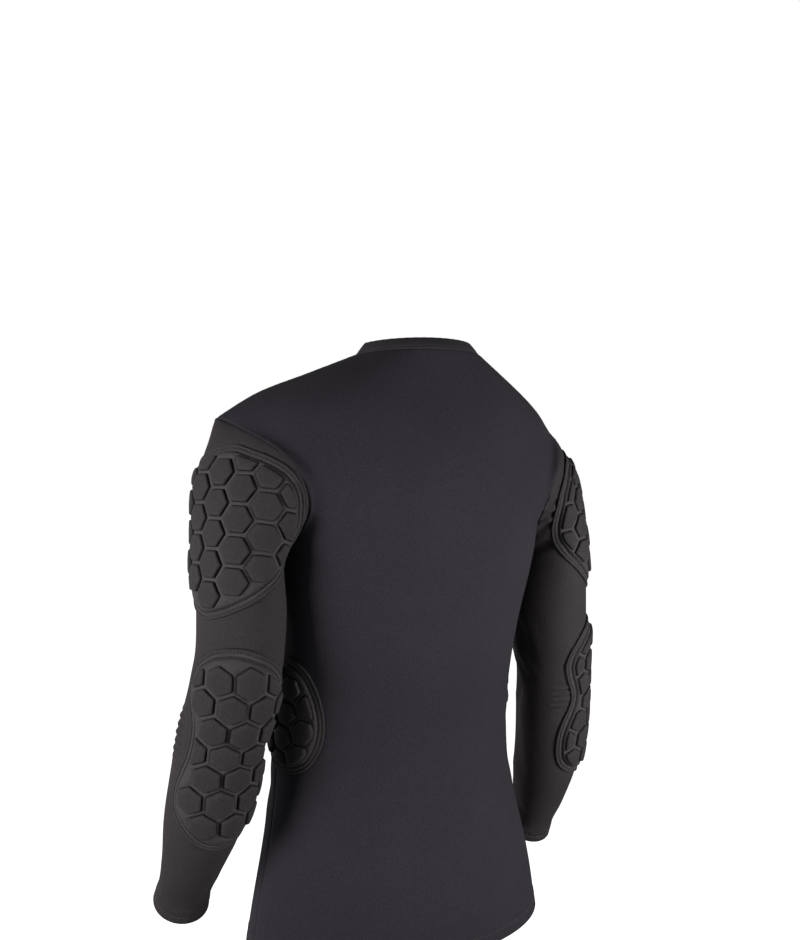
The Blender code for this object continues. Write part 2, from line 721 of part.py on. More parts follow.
def grid_normals(g, wrap=False):
    """Directions square to a grid of points."""
    if wrap:
        du = np.roll(g, -1, 1) - np.roll(g, 1, 1)
    else:
        du = np.empty_like(g)
        du[:, 1:-1] = g[:, 2:] - g[:, :-2]
        du[:, 0] = g[:, 1] - g[:, 0]
        du[:, -1] = g[:, -1] - g[:, -2]
    dv = np.empty_like(g)
    dv[1:-1] = g[2:] - g[:-2]
    dv[0] = g[1] - g[0]
    dv[-1] = g[-1] - g[-2]
    return unit(np.cross(du, dv))


def seam_key(p):
    return tuple(int(round(c * 5000)) for c in p)


def seam_add(pool, g, n, where):
    """Note the directions at the seam points of one piece."""
    for i, j in where:
        pool.setdefault(seam_key(g[i, j]), []).append(n[i, j].copy())


def seam_use(pool, g, n, where):
    """Give the seam points of a piece the mean direction of the pieces that meet there."""
    for i, j in where:
        alike = [m for m in pool[seam_key(g[i, j])] if float(m @ n[i, j]) > 0.35]
        n[i, j] = unit(np.sum(alike, axis=0))


def shell(g, n, thick, wrap, pull):
    """Closed wall on a grid of outer points: pull lists the borders drawn back from their seams."""
    outer = g.copy()
    rows, cols = g.shape[:2]
    if "start" in pull:
        outer[0] += unit(g[1] - g[0]) * SEAM
    if "end" in pull:
        outer[-1] += unit(g[-2] - g[-1]) * SEAM
    if "sides" in pull:
        outer[:, 0] += unit(g[:, 1] - g[:, 0]) * SEAM
        outer[:, -1] += unit(g[:, -2] - g[:, -1]) * SEAM
    inner = outer - n * thick[:, :, None]
    verts = np.concatenate([outer.reshape(-1, 3), inner.reshape(-1, 3)])
    m = rows * cols
    index = np.arange(m).reshape(rows, cols)
    index = np.concatenate([index, index[:, :1]], 1).tolist()
    faces = []
    last = cols if wrap else cols - 1
    for i in range(rows - 1):
        for j in range(last):
            a, b, c, d = index[i][j], index[i][j + 1], index[i + 1][j + 1], index[i + 1][j]
            faces.append((a, b, c, d))
            faces.append((m + a, m + d, m + c, m + b))
    for j in range(last):
        a, b = index[0][j], index[0][j + 1]
        faces.append((b, a, m + a, m + b))
        a, b = index[-1][j], index[-1][j + 1]
        faces.append((a, b, m + b, m + a))
    if not wrap:
        for i in range(rows - 1):
            a, b = index[i][0], index[i + 1][0]
            faces.append((a, b, m + b, m + a))
            a, b = index[i][cols - 1], index[i + 1][cols - 1]
            faces.append((b, a, m + a, m + b))
    return verts, faces


def sleeve_rows():
    """Where the sleeve's rings stand, from the armhole to the cuff's edge."""
    cap = np.linspace(-1, 0, 10)
    end = sleeve_knots()[-1]
    tube = np.concatenate([np.linspace(0, end - CUFF - 0.0015, 14)[1:], [end - CUFF, end]])
    return np.concatenate([cap, tube])


def add(name, verts, faces, colour):
    """One named solid with its own material."""
    mesh = bpy.data.meshes.new(name)
    mesh.from_pydata([tuple(v) for v in verts], [], [tuple(f) for f in faces])
    bm = bmesh.new()
    bm.from_mesh(mesh)
    bmesh.ops.triangulate(bm, faces=bm.faces[:])
    bmesh.ops.recalc_face_normals(bm, faces=bm.faces[:])
    bm.to_mesh(mesh)
    bm.free()
    ob = bpy.data.objects.new(name, mesh)
    bpy.data.collections["padded_compression_shirt"].objects.link(ob)
    mat = bpy.data.materials.new(name + "_cloth")
    mat.use_nodes = True
    bsdf = mat.node_tree.nodes["Principled BSDF"]
    bsdf.inputs["Base Color"].default_value = (*colour, 1.0)
    bsdf.inputs["Roughness"].default_value = 0.75
    mat.diffuse_color = (*colour, 1.0)
    mesh.materials.append(mat)


def mirrored(verts, faces):
    """The same piece on the other side of the shirt."""
    return np.asarray(verts) * np.array([-1.0, 1, 1]), [tuple(reversed(f)) for f in faces]


def folded(g, n, thick, rows):
    """Outer points and wall with the rows of a turned-up edge standing out."""
    raised = g.copy()
    raised[rows] += n[rows] * FOLD
    thick[rows] += FOLD
    return raised


def body_panels():
    """Grid and outward directions of the back and the front panel."""
    rows = body_rows()[0]
    across = np.linspace(-1, 1, N_SIDE + 1)
    panels = {}
    for name, back in (("back_panel", True), ("front_panel", False)):
        t, u = np.meshgrid(rows, across, indexing="ij")
        g = body_point(back, t, u)
        n = grid_normals(g)
        outward = 1 if back else -1
        if n[5, N_SIDE // 2, 1] * outward < 0:
            n = -n
        panels[name] = (g, n)
    return panels


def sleeve_surface():
    """Grid and outward directions of the left sleeve."""
    half = np.linspace(0, 180, N_HALF + 1)[:-1]
    theta = np.concatenate([half, half + 180])
    g = sleeve_point(sleeve_rows()[:, None], theta[None, :])
    n = grid_normals(g, wrap=True)
    if n[8, 0, 0] < 0:
        n = -n
    return g, n


def collar_surface(panels):
    """Grid and outward directions of the collar band, a ring on the panels' neck edges."""
    back = panels["back_panel"][0][-1]
    front = panels["front_panel"][0][-1]
    neck = np.concatenate([back, front[::-1][1:-1]])
    inward = np.array([0.0, 0.035, 0.0]) - neck
    inward[:, 2] = 0
    inward = unit(inward)
    rise = unit(inward * BAND_LEAN[0] + np.array([0, 0, BAND_LEAN[1]]))
    middle = neck + rise * BAND * 0.5 - inward * 0.0004
    g = np.stack([neck, neck + rise * 0.0015, middle, neck + rise * BAND])
    n = grid_normals(g, wrap=True)
    if n[2, N_SIDE // 2, 1] < 0:
        n = -n
    return g, n


def build_garment():
    """Panels, sleeves and collar band, whose walls meet square at the seams they share."""
    pool = {}
    panels = body_panels()
    sleeve, sleeve_n = sleeve_surface()
    band, band_n = collar_surface(panels)
    armhole_cells = [(0, j) for j in range(sleeve.shape[1])]
    neck_cells = [(0, j) for j in range(band.shape[1])]
    flip = np.array([-1.0, 1, 1])
    seam_add(pool, sleeve, sleeve_n, armhole_cells)
    seam_add(pool, sleeve * flip, sleeve_n * flip, armhole_cells)
    seam_add(pool, band, band_n, neck_cells)
    rows, cols = panels["back_panel"][0].shape[:2]
    edge = [(i, j) for i in range(rows) for j in (0, cols - 1)]
    edge += [(rows - 1, j) for j in range(1, cols - 1)]
    for g, n in panels.values():
        seam_add(pool, g, n, edge)

    for name, (g, n) in panels.items():
        seam_use(pool, g, n, edge)
        thick = np.full(g.shape[:2], WALL)
        verts, faces = shell(folded(g, n, thick, slice(0, 2)), n, thick, False, ("end", "sides"))
        add(name, verts, faces, KNIT)

    seam_use(pool, sleeve, sleeve_n, armhole_cells)
    thick = np.full(sleeve.shape[:2], WALL)
    verts, faces = shell(folded(sleeve, sleeve_n, thick, slice(-2, None)), sleeve_n, thick, True, ("start",))
    add("left_sleeve", verts, faces, SLEEVE_KNIT)
    add("right_sleeve", *mirrored(verts, faces), SLEEVE_KNIT)

    seam_use(pool, band, band_n, neck_cells)
    thick = np.full(band.shape[:2], BAND_WALL)
    thick[0] = WALL
    add("collar_band", *shell(band, band_n, thick, True, ("start",)), KNIT)


def build_pads():
    """Shoulder, elbow and rib pads of both sides."""
    patches = make_patches()
    for kind, outline, pitch, lean, centre, step in PADS:
        left = pad_mesh(patches[kind], outline, pitch, lean, centre, step, 0.0)
        add("left_" + kind + "_pad", *left, PAD_KNIT)
        right = pad_mesh(patches[kind], outline, pitch, lean, centre, step, RIGHT_TURN[kind])
        add("right_" + kind + "_pad", *mirrored(*right), PAD_KNIT)


for old in list(bpy.data.objects):
    bpy.data.objects.remove(old, do_unlink=True)
bpy.context.scene.collection.children.link(bpy.data.collections.new("padded_compression_shirt"))
build_garment()
build_pads()
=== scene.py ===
import random
import bmesh
import bpy
import math
import numpy as np
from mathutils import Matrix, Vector
from mathutils.geometry import delaunay_2d_cdt
from mathutils.kdtree import KDTree


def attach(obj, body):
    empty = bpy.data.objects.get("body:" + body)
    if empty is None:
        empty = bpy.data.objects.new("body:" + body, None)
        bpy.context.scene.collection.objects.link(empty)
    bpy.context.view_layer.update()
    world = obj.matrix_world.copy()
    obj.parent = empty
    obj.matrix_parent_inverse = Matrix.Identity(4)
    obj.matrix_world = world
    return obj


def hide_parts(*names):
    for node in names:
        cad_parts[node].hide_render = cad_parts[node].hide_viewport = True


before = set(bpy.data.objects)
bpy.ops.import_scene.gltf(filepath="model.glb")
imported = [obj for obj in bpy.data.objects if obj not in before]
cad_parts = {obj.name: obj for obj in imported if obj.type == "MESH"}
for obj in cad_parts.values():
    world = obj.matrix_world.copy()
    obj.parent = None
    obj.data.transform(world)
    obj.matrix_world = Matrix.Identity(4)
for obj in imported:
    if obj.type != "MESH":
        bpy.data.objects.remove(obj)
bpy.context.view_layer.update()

WALL = 0.0014
SEAM = 0.00015
# Turned-up height of the hem and the cuffs, and what the second layer adds
HEM = 0.020
CUFF = 0.018
FOLD = 0.0007
# Stitch rows: distance from the edge, then each stitch's length, gap and thread radius
HEM_LINES = (0.0122, 0.0142)
HEM_STITCH = (0.0024, 0.0008, 0.00026)
CUFF_LINES = (0.0080, 0.0098)
CUFF_STITCH = (0.0022, 0.0008, 0.00025)
PAD_THREAD = 0.00030
# Stations close to the hem, the cuff's edge and the sides, where the cloth changes quickly
HEM_STATIONS = (
    0.0004, 0.0012, 0.0030, 0.0060, 0.0090, 0.0108, 0.0120,
    0.0132, 0.0146, 0.0160, 0.0185, 0.0200, 0.0212, 0.0240,
)
CUFF_STATIONS = (
    0.0210, 0.0195, 0.0180, 0.0168, 0.0145, 0.0125, 0.0112, 0.0100,
    0.0090, 0.0080, 0.0068, 0.0050, 0.0030, 0.0012, 0.0004, 0.0,
)
SIDE_STATIONS = (0.006, 0.013, 0.024, 0.045)
# How far the sewing draws the cloth in at a seam
PINCH = 0.0007
# Cloth sinks this much under a pad, within this distance of it
SINK = 0.0012
SINK_REACH = 0.0040
# Collar band: lean towards the neck and rise, wall, stitch line, then height up it and stand-out, in metres
BAND_LEAN = (0.62, 0.80)
BAND_WALL = 0.0024
BAND_LINE = 0.0033
BAND_ROWS = [
    (0.0000, -0.0006), (0.0004, -0.0001), (0.0010, 0.0004), (0.0018, 0.0006), (0.0027, 0.0002),
    (0.0033, -0.0002), (0.0039, 0.0002), (0.0050, 0.0006), (0.0080, 0.0006), (0.0120, 0.0005),
    (0.0150, 0.0004), (0.0163, 0.0002), (0.0169, -0.0003), (0.0170, -0.0009),
]

# Pads: outline points in millimetres on the flat, across towards the back and along upwards
SHOULDER_OUT = [
    (6, 215), (25, 215), (45, 208), (67, 199.5), (87, 188), (99, 175), (106, 160), (108, 145),
    (109, 129), (107, 112), (100, 94), (87, 77), (71, 62.5), (57, 51), (41, 42), (20, 34), (-2, 31),
    (-22, 37), (-40, 49), (-55, 66), (-67, 88), (-75, 112), (-78, 136), (-74, 159), (-63, 180),
    (-45, 197), (-20, 210),
]
ELBOW_OUT = [
    (-5, 330), (10, 336), (31, 338), (49, 334.5), (67, 328), (84, 318), (97, 305), (103, 289),
    (101, 273), (96, 257), (94, 241), (98, 225), (105, 207), (110, 188), (110, 170), (106, 154),
    (97, 141), (83, 131), (67, 124), (52, 119.5), (38, 119), (25, 122.5), (13, 129), (3, 136.5),
    (-7, 145.5), (-14, 156), (-17, 170), (-16, 184), (-12, 199), (-8, 216), (-8, 232), (-11, 247),
    (-18, 259), (-27, 270), (-33, 285), (-30, 302), (-20, 318),
]
RIB_OUT = [
    (15, 214), (32, 210), (45, 201), (54, 189), (62, 171), (67, 153), (69, 137), (68, 121), (64, 106),
    (56, 92), (45, 84), (29, 79), (10, 79), (-8, 85), (-24, 97), (-36, 116), (-41, 140), (-40, 162),
    (-33, 182), (-20, 198), (-3, 210),
]
# name, outline, hexagon pitch across flats, lean in degrees, one cell's centre (millimetres)
PADS = [
    ("shoulder", SHOULDER_OUT, 32.0, -5.0, (38, 134)),
    ("elbow", ELBOW_OUT, 30.5, 35.0, (40, 176)),
    ("rib", RIB_OUT, 29.5, -9.0, (45, 131)),
]
# The right sleeve sits turned forward on its arm, which moves its pads round it by these lengths, in metres
RIGHT_TURN = {"shoulder": -0.010, "elbow": -0.042, "rib": -0.036}
# Heights over the cloth in millimetres: underside, floor of the grooves, cell
PAD_BASE = 0.4
FLOOR = 5.0
CELL = 8.9
# Widths in millimetres: flange, half a groove, and the groove's slope beside a cell
FLANGE_WIDTH = 11.0
HALF_GROOVE = 1.9
BANK = 0.5
# Distance in from the pad's edge, height over the cloth (millimetres) and tone: rim, stitched bands, foam.
# The tone is painted light: painted shade at the edge and along the two sunken stitch lines, painted
# highlight on the raised rim and stitched band
RIM = [
    (0.0, 0.9, 0.35), (0.15, 1.6, 0.50), (0.5, 2.3, 0.95), (1.2, 2.8, 1.25), (2.0, 2.8, 1.25),
    (2.7, 2.2, 0.90), (3.2, 1.5, 0.35), (3.7, 1.9, 1.05), (5.0, 2.4, 1.35), (6.4, 2.3, 1.30),
    (7.3, 1.9, 0.95), (7.8, 1.5, 0.35), (8.4, 2.2, 0.80), (9.3, 3.6, 1.10), (10.2, 4.7, 1.30),
]
# Distance in from a cell's foot (millimetres), share of its height and tone: crease, steep wall, soft
# crown. The tone is painted shade in the crease and low on the wall, and a painted highlight on the cell's
# rounded shoulder
DOME = [
    (0.0, -0.20, 0.30), (0.25, 0.18, 0.45), (0.5, 0.48, 0.75), (0.9, 0.72, 1.02),
    (1.6, 0.87, 1.10), (3.0, 0.95, 1.05), (5.0, 0.98, 1.00), (8.0, 1.0, 0.96),
]

# Soft folds of the body: start (metres up from the armpit row, share across), end, bend, width, depth
BACK_FOLDS = [
    ((-0.020, -0.97), (0.030, -0.80), 0.02, 0.0050, 0.0012),
    ((-0.034, -0.98), (0.006, -0.76), 0.02, 0.0060, 0.0013),
    ((-0.055, -0.97), (-0.020, -0.78), 0.02, 0.0065, 0.0010),
    ((-0.020, 0.97), (0.030, 0.80), -0.02, 0.0050, 0.0011),
    ((-0.038, 0.98), (0.004, 0.78), -0.02, 0.0060, 0.0012),
    ((-0.060, 0.97), (-0.028, 0.80), -0.02, 0.0065, 0.0008),
    ((-0.300, -0.97), (-0.270, -0.70), 0.00, 0.0110, 0.0012),
    ((-0.262, 0.97), (-0.236, 0.72), 0.00, 0.0110, 0.0011),
    ((-0.330, 0.98), (-0.318, 0.76), 0.00, 0.0120, 0.0010),
    ((-0.232, -0.98), (-0.215, -0.74), 0.00, 0.0100, 0.0010),
]
FRONT_FOLDS = [
    ((-0.012, -0.98), (0.040, -0.66), 0.03, 0.0060, 0.0014),
    ((-0.030, -0.98), (0.014, -0.64), 0.03, 0.0070, 0.0015),
    ((-0.052, -0.97), (-0.016, -0.70), 0.02, 0.0070, 0.0011),
    ((-0.012, 0.98), (0.040, 0.68), -0.03, 0.0060, 0.0013),
    ((-0.032, 0.98), (0.012, 0.66), -0.03, 0.0070, 0.0014),
    ((-0.056, 0.97), (-0.020, 0.72), -0.02, 0.0070, 0.0010),
    ((-0.270, -0.97), (-0.250, -0.66), 0.00, 0.0120, 0.0013),
    ((-0.300, 0.97), (-0.276, 0.68), 0.00, 0.0120, 0.0013),
    ((-0.448, -0.10), (-0.420, -0.02), 0.02, 0.0090, 0.0010),
    ((-0.446, 0.20), (-0.405, 0.26), 0.02, 0.0110, 0.0009),
]
# Soft folds of a sleeve: start (t, angle), end, width, depth. t runs from -1 at the armhole to 0 at the
# first ring, then in metres down the arm. Angles: 0 outwards, 90 back, 180 towards the body, 270 front.
ARMPIT_FOLDS = [
    ((-0.96, 132), (-0.70, 104), 0.0042, 0.0016),
    ((-0.88, 142), (-0.56, 108), 0.0045, 0.0018),
    ((-0.66, 146), (-0.44, 112), 0.0045, 0.0016),
    ((-0.16, 150), (-0.08, 116), 0.0050, 0.0013),
    ((-0.94, 238), (-0.66, 262), 0.0045, 0.0015),
    ((-0.84, 226), (-0.50, 256), 0.0050, 0.0016),
    ((-0.60, 220), (-0.30, 250), 0.0055, 0.0013),
]
CROOK_FOLDS = {
    "left": [
        ((0.062, 196), (0.128, 162), 0.0075, 0.0018),
        ((0.120, 214), (0.150, 168), 0.0065, 0.0022),
        ((0.128, 262), (0.152, 212), 0.0060, 0.0022),
        ((0.150, 270), (0.172, 205), 0.0060, 0.0018),
        ((0.098, 268), (0.118, 222), 0.0070, 0.0014),
        ((0.215, 200), (0.300, 172), 0.0080, 0.0012),
    ],
    "right": [
        ((0.062, 190), (0.128, 156), 0.0075, 0.0020),
        ((0.120, 204), (0.150, 158), 0.0065, 0.0024),
        ((0.128, 250), (0.152, 205), 0.0060, 0.0020),
        ((0.152, 226), (0.178, 176), 0.0060, 0.0018),
        ((0.098, 248), (0.118, 208), 0.0070, 0.0012),
        ((0.215, 196), (0.300, 168), 0.0080, 0.0012),
    ],
}
WRIST_FOLDS = [
    ((0.330, 250), (0.352, 205), 0.0050, 0.0009),
    ((0.345, 190), (0.362, 150), 0.0050, 0.0009),
]
# How much deeper than listed the folds under each armpit are
ARMPIT_DEPTH = {"left": 1.2, "right": 2.2}
# Broad hollows of the cloth inside a bent elbow: start (t, angle), end, width, depth
DENTS = {
    "left": [],
    "right": [
        ((0.140, 212), (0.205, 212), 0.022, 0.0125),
        ((0.135, 212), (0.300, 212), 0.026, 0.0085),
    ],
}
# Short gathers at the elbow pads' borders: t, angle at the border and away from it, width, depth
GATHERS = {
    "left": [
        (0.168, 2, -32, 0.0019, 0.0020),
        (0.176, 6, -36, 0.0020, 0.0024),
        (0.184, 8, -30, 0.0019, 0.0024),
        (0.192, 10, -34, 0.0020, 0.0024),
        (0.200, 12, -26, 0.0019, 0.0020),
        (0.208, 12, -28, 0.0020, 0.0019),
        (0.217, 12, -18, 0.0019, 0.0015),
        (0.160, 140, 168, 0.0019, 0.0019),
        (0.170, 140, 172, 0.0020, 0.0020),
        (0.180, 140, 166, 0.0019, 0.0019),
    ],
    "right": [
        (0.152, 96, 118, 0.0019, 0.0017),
        (0.161, 94, 120, 0.0020, 0.0020),
        (0.169, 94, 118, 0.0019, 0.0020),
        (0.178, 96, 122, 0.0020, 0.0020),
        (0.187, 97, 117, 0.0019, 0.0017),
        (0.172, -48, -84, 0.0020, 0.0022),
        (0.181, -46, -88, 0.0019, 0.0024),
        (0.190, -44, -80, 0.0020, 0.0022),
        (0.199, -42, -84, 0.0019, 0.0019),
        (0.208, -42, -74, 0.0020, 0.0017),
    ],
}

# Light and camera. Each light: name, place, size, power in watts
FLOOR_Z = -1.40
FLOOR_GLOW = 1.0
LIGHTS = [
    ("left_softbox", (1.18, 0.19, -0.22), (0.45, 0.45), 14.5),
    ("back_softbox", (-0.58, 0.92, -0.34), (0.45, 0.45), 14.0),
    ("front_left_softbox", (0.45, -1.35, -0.25), (0.7, 0.7), 20.0),
    ("front_right_softbox", (-1.05, -0.95, -0.25), (0.7, 0.7), 20.0),
]
# Soft light from all round: direction it is brightest from, then its strength on the far side and there
SKY_SIDE = (0.60, 0.40, -0.50)
SKY_RANGE = (0.03, 0.30)
LIGHT_TARGET = (0, 0, -0.35)
CAMERA_AZIMUTH = math.radians(150)
CAMERA_DISTANCE = 1.2
CAMERA_Z = -0.128
FOCAL_PX = 1000.0
FRAME_H = 940
HORIZON_PX = 467.0

PIECES = []

# Body rows from hem to neck. Side columns are shared by front and back.
# name, side x, side y, side z
SIDE_ROWS = [
    ("hem", 0.186, -0.008, -0.671),
    ("hip", 0.177, -0.010, -0.615),
    ("low", 0.163, -0.013, -0.550),
    ("waist", 0.152, -0.020, -0.480),
    ("flank", 0.150, -0.015, -0.415),
    ("ribs", 0.152, -0.004, -0.340),
    ("lats", 0.155, 0.006, -0.285),
    ("chest", 0.159, 0.012, -0.244),
    ("armpit", 0.161, 0.014, -0.214),
]
# name, side x, side y, side z: each panel's own armhole edge, from armpit to shoulder tip
BACK_ARMHOLE = [
    ("a1", 0.159, 0.054, -0.200),
    ("a2", 0.157, 0.080, -0.174),
    ("a3", 0.163, 0.087, -0.150),
    ("a4", 0.174, 0.085, -0.128),
    ("a5", 0.187, 0.069, -0.110),
    ("a6", 0.209, 0.028, -0.088),
]
FRONT_ARMHOLE = [
    ("a1", 0.153, -0.018, -0.202),
    ("a2", 0.148, -0.042, -0.180),
    ("a3", 0.150, -0.056, -0.154),
    ("a4", 0.160, -0.060, -0.130),
    ("a5", 0.178, -0.052, -0.110),
    ("a6", 0.204, -0.040, -0.090),
]
SHOULDER_ROWS = [
    ("tip", 0.223, -0.022, -0.073),
    ("s1", 0.181, -0.009, -0.045),
    ("s2", 0.130, 0.012, -0.023),
    ("neck", 0.076, 0.034, 0.000),
]
# name, centre y, centre z, turn at the side in degrees, fullness towards centre, fullness towards side
BACK_MID = [
    ("hem", 0.111, -0.673, 90, 0.60, 0.58),
    ("hip", 0.112, -0.617, 90, 0.60, 0.58),
    ("low", 0.098, -0.552, 90, 0.60, 0.58),
    ("waist", 0.077, -0.482, 90, 0.60, 0.58),
    ("flank", 0.076, -0.416, 90, 0.60, 0.58),
    ("ribs", 0.090, -0.341, 90, 0.66, 0.62),
    ("lats", 0.102, -0.286, 90, 0.68, 0.66),
    ("chest", 0.110, -0.245, 90, 0.72, 0.76),
    ("armpit", 0.115, -0.216, 88, 0.74, 0.82),
    ("a1", 0.117, -0.200, 75, 0.74, 0.74),
    ("a2", 0.119, -0.176, 50, 0.70, 0.55),
    ("a3", 0.120, -0.152, 30, 0.62, 0.45),
    ("a4", 0.120, -0.129, 28, 0.62, 0.45),
    ("a5", 0.120, -0.110, 38, 0.62, 0.45),
    ("a6", 0.119, -0.090, 60, 0.62, 0.50),
    ("tip", 0.118, -0.077, 84, 0.62, 0.55),
    ("s1", 0.115, -0.053, 88, 0.60, 0.55),
    ("s2", 0.110, -0.026, 90, 0.58, 0.56),
    ("neck", 0.106, 0.003, 90, 0.56, 0.56),
]
FRONT_MID = [
    ("hem", -0.127, -0.676, 90, 0.58, 0.57),
    ("hip", -0.121, -0.620, 90, 0.58, 0.57),
    ("low", -0.117, -0.555, 90, 0.58, 0.57),
    ("waist", -0.115, -0.484, 90, 0.58, 0.57),
    ("flank", -0.113, -0.418, 90, 0.58, 0.57),
    ("ribs", -0.110, -0.343, 90, 0.60, 0.58),
    ("lats", -0.110, -0.288, 90, 0.62, 0.60),
    ("chest", -0.110, -0.247, 90, 0.64, 0.60),
    ("armpit", -0.108, -0.220, 88, 0.64, 0.60),
    ("a1", -0.107, -0.206, 78, 0.64, 0.58),
    ("a2", -0.104, -0.186, 60, 0.62, 0.50),
    ("a3", -0.099, -0.164, 45, 0.60, 0.45),
    ("a4", -0.093, -0.144, 40, 0.60, 0.45),
    ("a5", -0.087, -0.128, 48, 0.60, 0.45),
    ("a6", -0.079, -0.113, 62, 0.60, 0.50),
    ("tip", -0.073, -0.104, 84, 0.60, 0.55),
    ("s1", -0.061, -0.089, 88, 0.58, 0.55),
    ("s2", -0.048, -0.074, 90, 0.57, 0.56),
    ("neck", -0.037, -0.060, 90, 0.56, 0.56),
]

# Sleeve rings, armpit level to cuff: centre x, y, z and radii out, back, in, front
SLEEVE_ROWS = [
    ("top", 0.2020, 0.005, -0.238, 0.050, 0.071, 0.038, 0.052),
    ("biceps", 0.2055, 0.013, -0.285, 0.049, 0.062, 0.045, 0.051),
    ("above_elbow", 0.2095, 0.017, -0.335, 0.047, 0.053, 0.045, 0.052),
    ("crook", 0.2150, 0.010, -0.372, 0.046, 0.052, 0.045, 0.053),
    ("below_elbow", 0.2235, -0.001, -0.418, 0.046, 0.051, 0.045, 0.053),
    ("forearm", 0.2310, -0.015, -0.480, 0.046, 0.049, 0.044, 0.048),
    ("mid", 0.2380, -0.030, -0.530, 0.041, 0.044, 0.041, 0.040),
    ("low", 0.2430, -0.045, -0.570, 0.034, 0.034, 0.034, 0.035),
    ("wrist", 0.2450, -0.060, -0.598, 0.030, 0.030, 0.030, 0.031),
    ("cuff", 0.2460, -0.074, -0.624, 0.031, 0.031, 0.031, 0.033),
]
# Way the sleeve leaves the armhole: angle round the arm (0 out, 90 back, 180 in, 270 front), dx, dy, dz
LEAVE = [
    (0, 0.80, 0.00, -0.60),
    (30, 0.80, 0.05, -0.60),
    (60, 0.75, -0.10, -0.62),
    (90, 0.55, -0.15, -0.80),
    (120, 0.40, -0.25, -0.88),
    (150, 0.30, -0.20, -0.93),
    (180, 0.20, 0.00, -0.98),
    (210, 0.30, 0.20, -0.93),
    (240, 0.45, 0.25, -0.86),
    (270, 0.60, 0.15, -0.78),
    (300, 0.75, 0.10, -0.62),
    (330, 0.80, 0.00, -0.60),
    (360, 0.80, 0.00, -0.60),
]


def slopes(x, y):
    """Slope of a smooth line at each of its knots."""
    h = np.diff(x)[:, None]
    d = np.diff(y, axis=0) / h
    m = np.empty_like(y)
    m[0], m[-1] = d[0], d[-1]
    m[1:-1] = (d[:-1] * h[1:] + d[1:] * h[:-1]) / (h[1:] + h[:-1])
    return m


def spline(x, y, at, breaks=()):
    """Smooth values through the rows; a break is a knot where the slope may jump."""
    x = np.asarray(x, float)
    y = np.asarray(y, float)
    if y.ndim == 1:
        y = y[:, None]
    at = np.asarray(at, float)
    shape = at.shape
    at = at.ravel()
    out = np.empty((len(at), y.shape[1]))
    cuts = [0, *breaks, len(x) - 1]
    for a, b in zip(cuts[:-1], cuts[1:]):
        xs, ys = x[a : b + 1], y[a : b + 1]
        m = slopes(xs, ys)
        sel = (at >= xs[0] - 1e-12) & (at <= xs[-1] + 1e-12)
        if a == 0:
            sel |= at < xs[0]
        if b == len(x) - 1:
            sel |= at > xs[-1]
        t = np.clip(at[sel], xs[0], xs[-1])
        i = np.clip(np.searchsorted(xs, t, side="right") - 1, 0, len(xs) - 2)
        h = (xs[i + 1] - xs[i])[:, None]
        s = ((t - xs[i]) / (xs[i + 1] - xs[i]))[:, None]
        out[sel] = (
            ys[i] * (1 + 2 * s) * (1 - s) ** 2
            + m[i] * h * s * (1 - s) ** 2
            + ys[i + 1] * s * s * (3 - 2 * s)
            - m[i + 1] * h * s * s * (1 - s)
        )
    return out.reshape(shape + (y.shape[1],))


def body_table(back):
    """One row a station up the body: side x, y, z, then centre y, z, turn and the two fullnesses."""
    side = SIDE_ROWS + (BACK_ARMHOLE if back else FRONT_ARMHOLE) + SHOULDER_ROWS
    mid = BACK_MID if back else FRONT_MID
    return np.array([list(s[1:]) + list(m[1:]) for s, m in zip(side, mid)], float)


# Rows of the body table where the side seam becomes the armhole, and the armhole the shoulder seam
ARMPIT = 8
TIP = 15
KNOTS = []


def body_knots():
    """Length up the body at each row, the mean of the side's and the centre's, one for front and back."""
    if not KNOTS:
        table = body_table(True)
        side = table[:, :3]
        mid = np.column_stack([np.zeros(len(table)), table[:, 3], table[:, 4]])
        step = [np.linalg.norm(np.diff(line, axis=0), axis=1) for line in (side, mid)]
        KNOTS.append(np.concatenate([[0], np.cumsum(0.5 * (step[0] + step[1]))]))
    return KNOTS[0]


def body_raw(back, t, u):
    """Point of the cloth's outer face: t up the body in metres, u from -1 at its right to 1 at its left."""
    k = body_knots()
    tab = body_table(back)
    t = np.asarray(t, float)
    u = np.asarray(u, float)
    ends = spline(k, tab[:, :3], t, breaks=(ARMPIT, TIP))
    mid = spline(k, tab[:, 3:], t)
    s = 1.0 if back else -1.0
    ex, ey, ez = ends[..., 0], ends[..., 1], ends[..., 2]
    cy, cz, turn, f0, f1 = (mid[..., i] for i in range(5))
    turn = np.radians(turn)
    rise = s * (cy - ey)
    qx = ex - rise / np.tan(turn)
    b = np.abs(u)
    w0, w1, w2, w3 = (1 - b) ** 3, 3 * b * (1 - b) ** 2, 3 * b * b * (1 - b), b**3
    x = w1 * f0 * qx + w2 * (ex + f1 * (qx - ex)) + w3 * ex
    y = w0 * cy + w1 * cy + w2 * (ey + f1 * (cy - ey)) + w3 * ey
    z = (w0 + w1) * cz + w2 * (cz + 0.6 * (ez - cz)) + w3 * ez
    return np.stack([x * np.sign(u), y, z], -1)


GRID = {}


def body_grid(back):
    """The outer face sampled finely, with rows evened out away from the side edges."""
    if back not in GRID:
        k = body_knots()
        ts = np.linspace(0, k[-1], 121)
        us = np.linspace(-1, 1, 61)
        g = body_raw(back, *np.meshgrid(ts, us, indexing="ij"))
        w = np.clip((1 - np.abs(us)) / 0.22, 0, 1)
        w = (0.5 * w * w * (3 - 2 * w))[None, :, None]
        for _ in range(60):
            g[1:-1] += w * (0.5 * (g[2:] + g[:-2]) - g[1:-1])
        GRID[back] = (ts, us, g)
    return GRID[back]


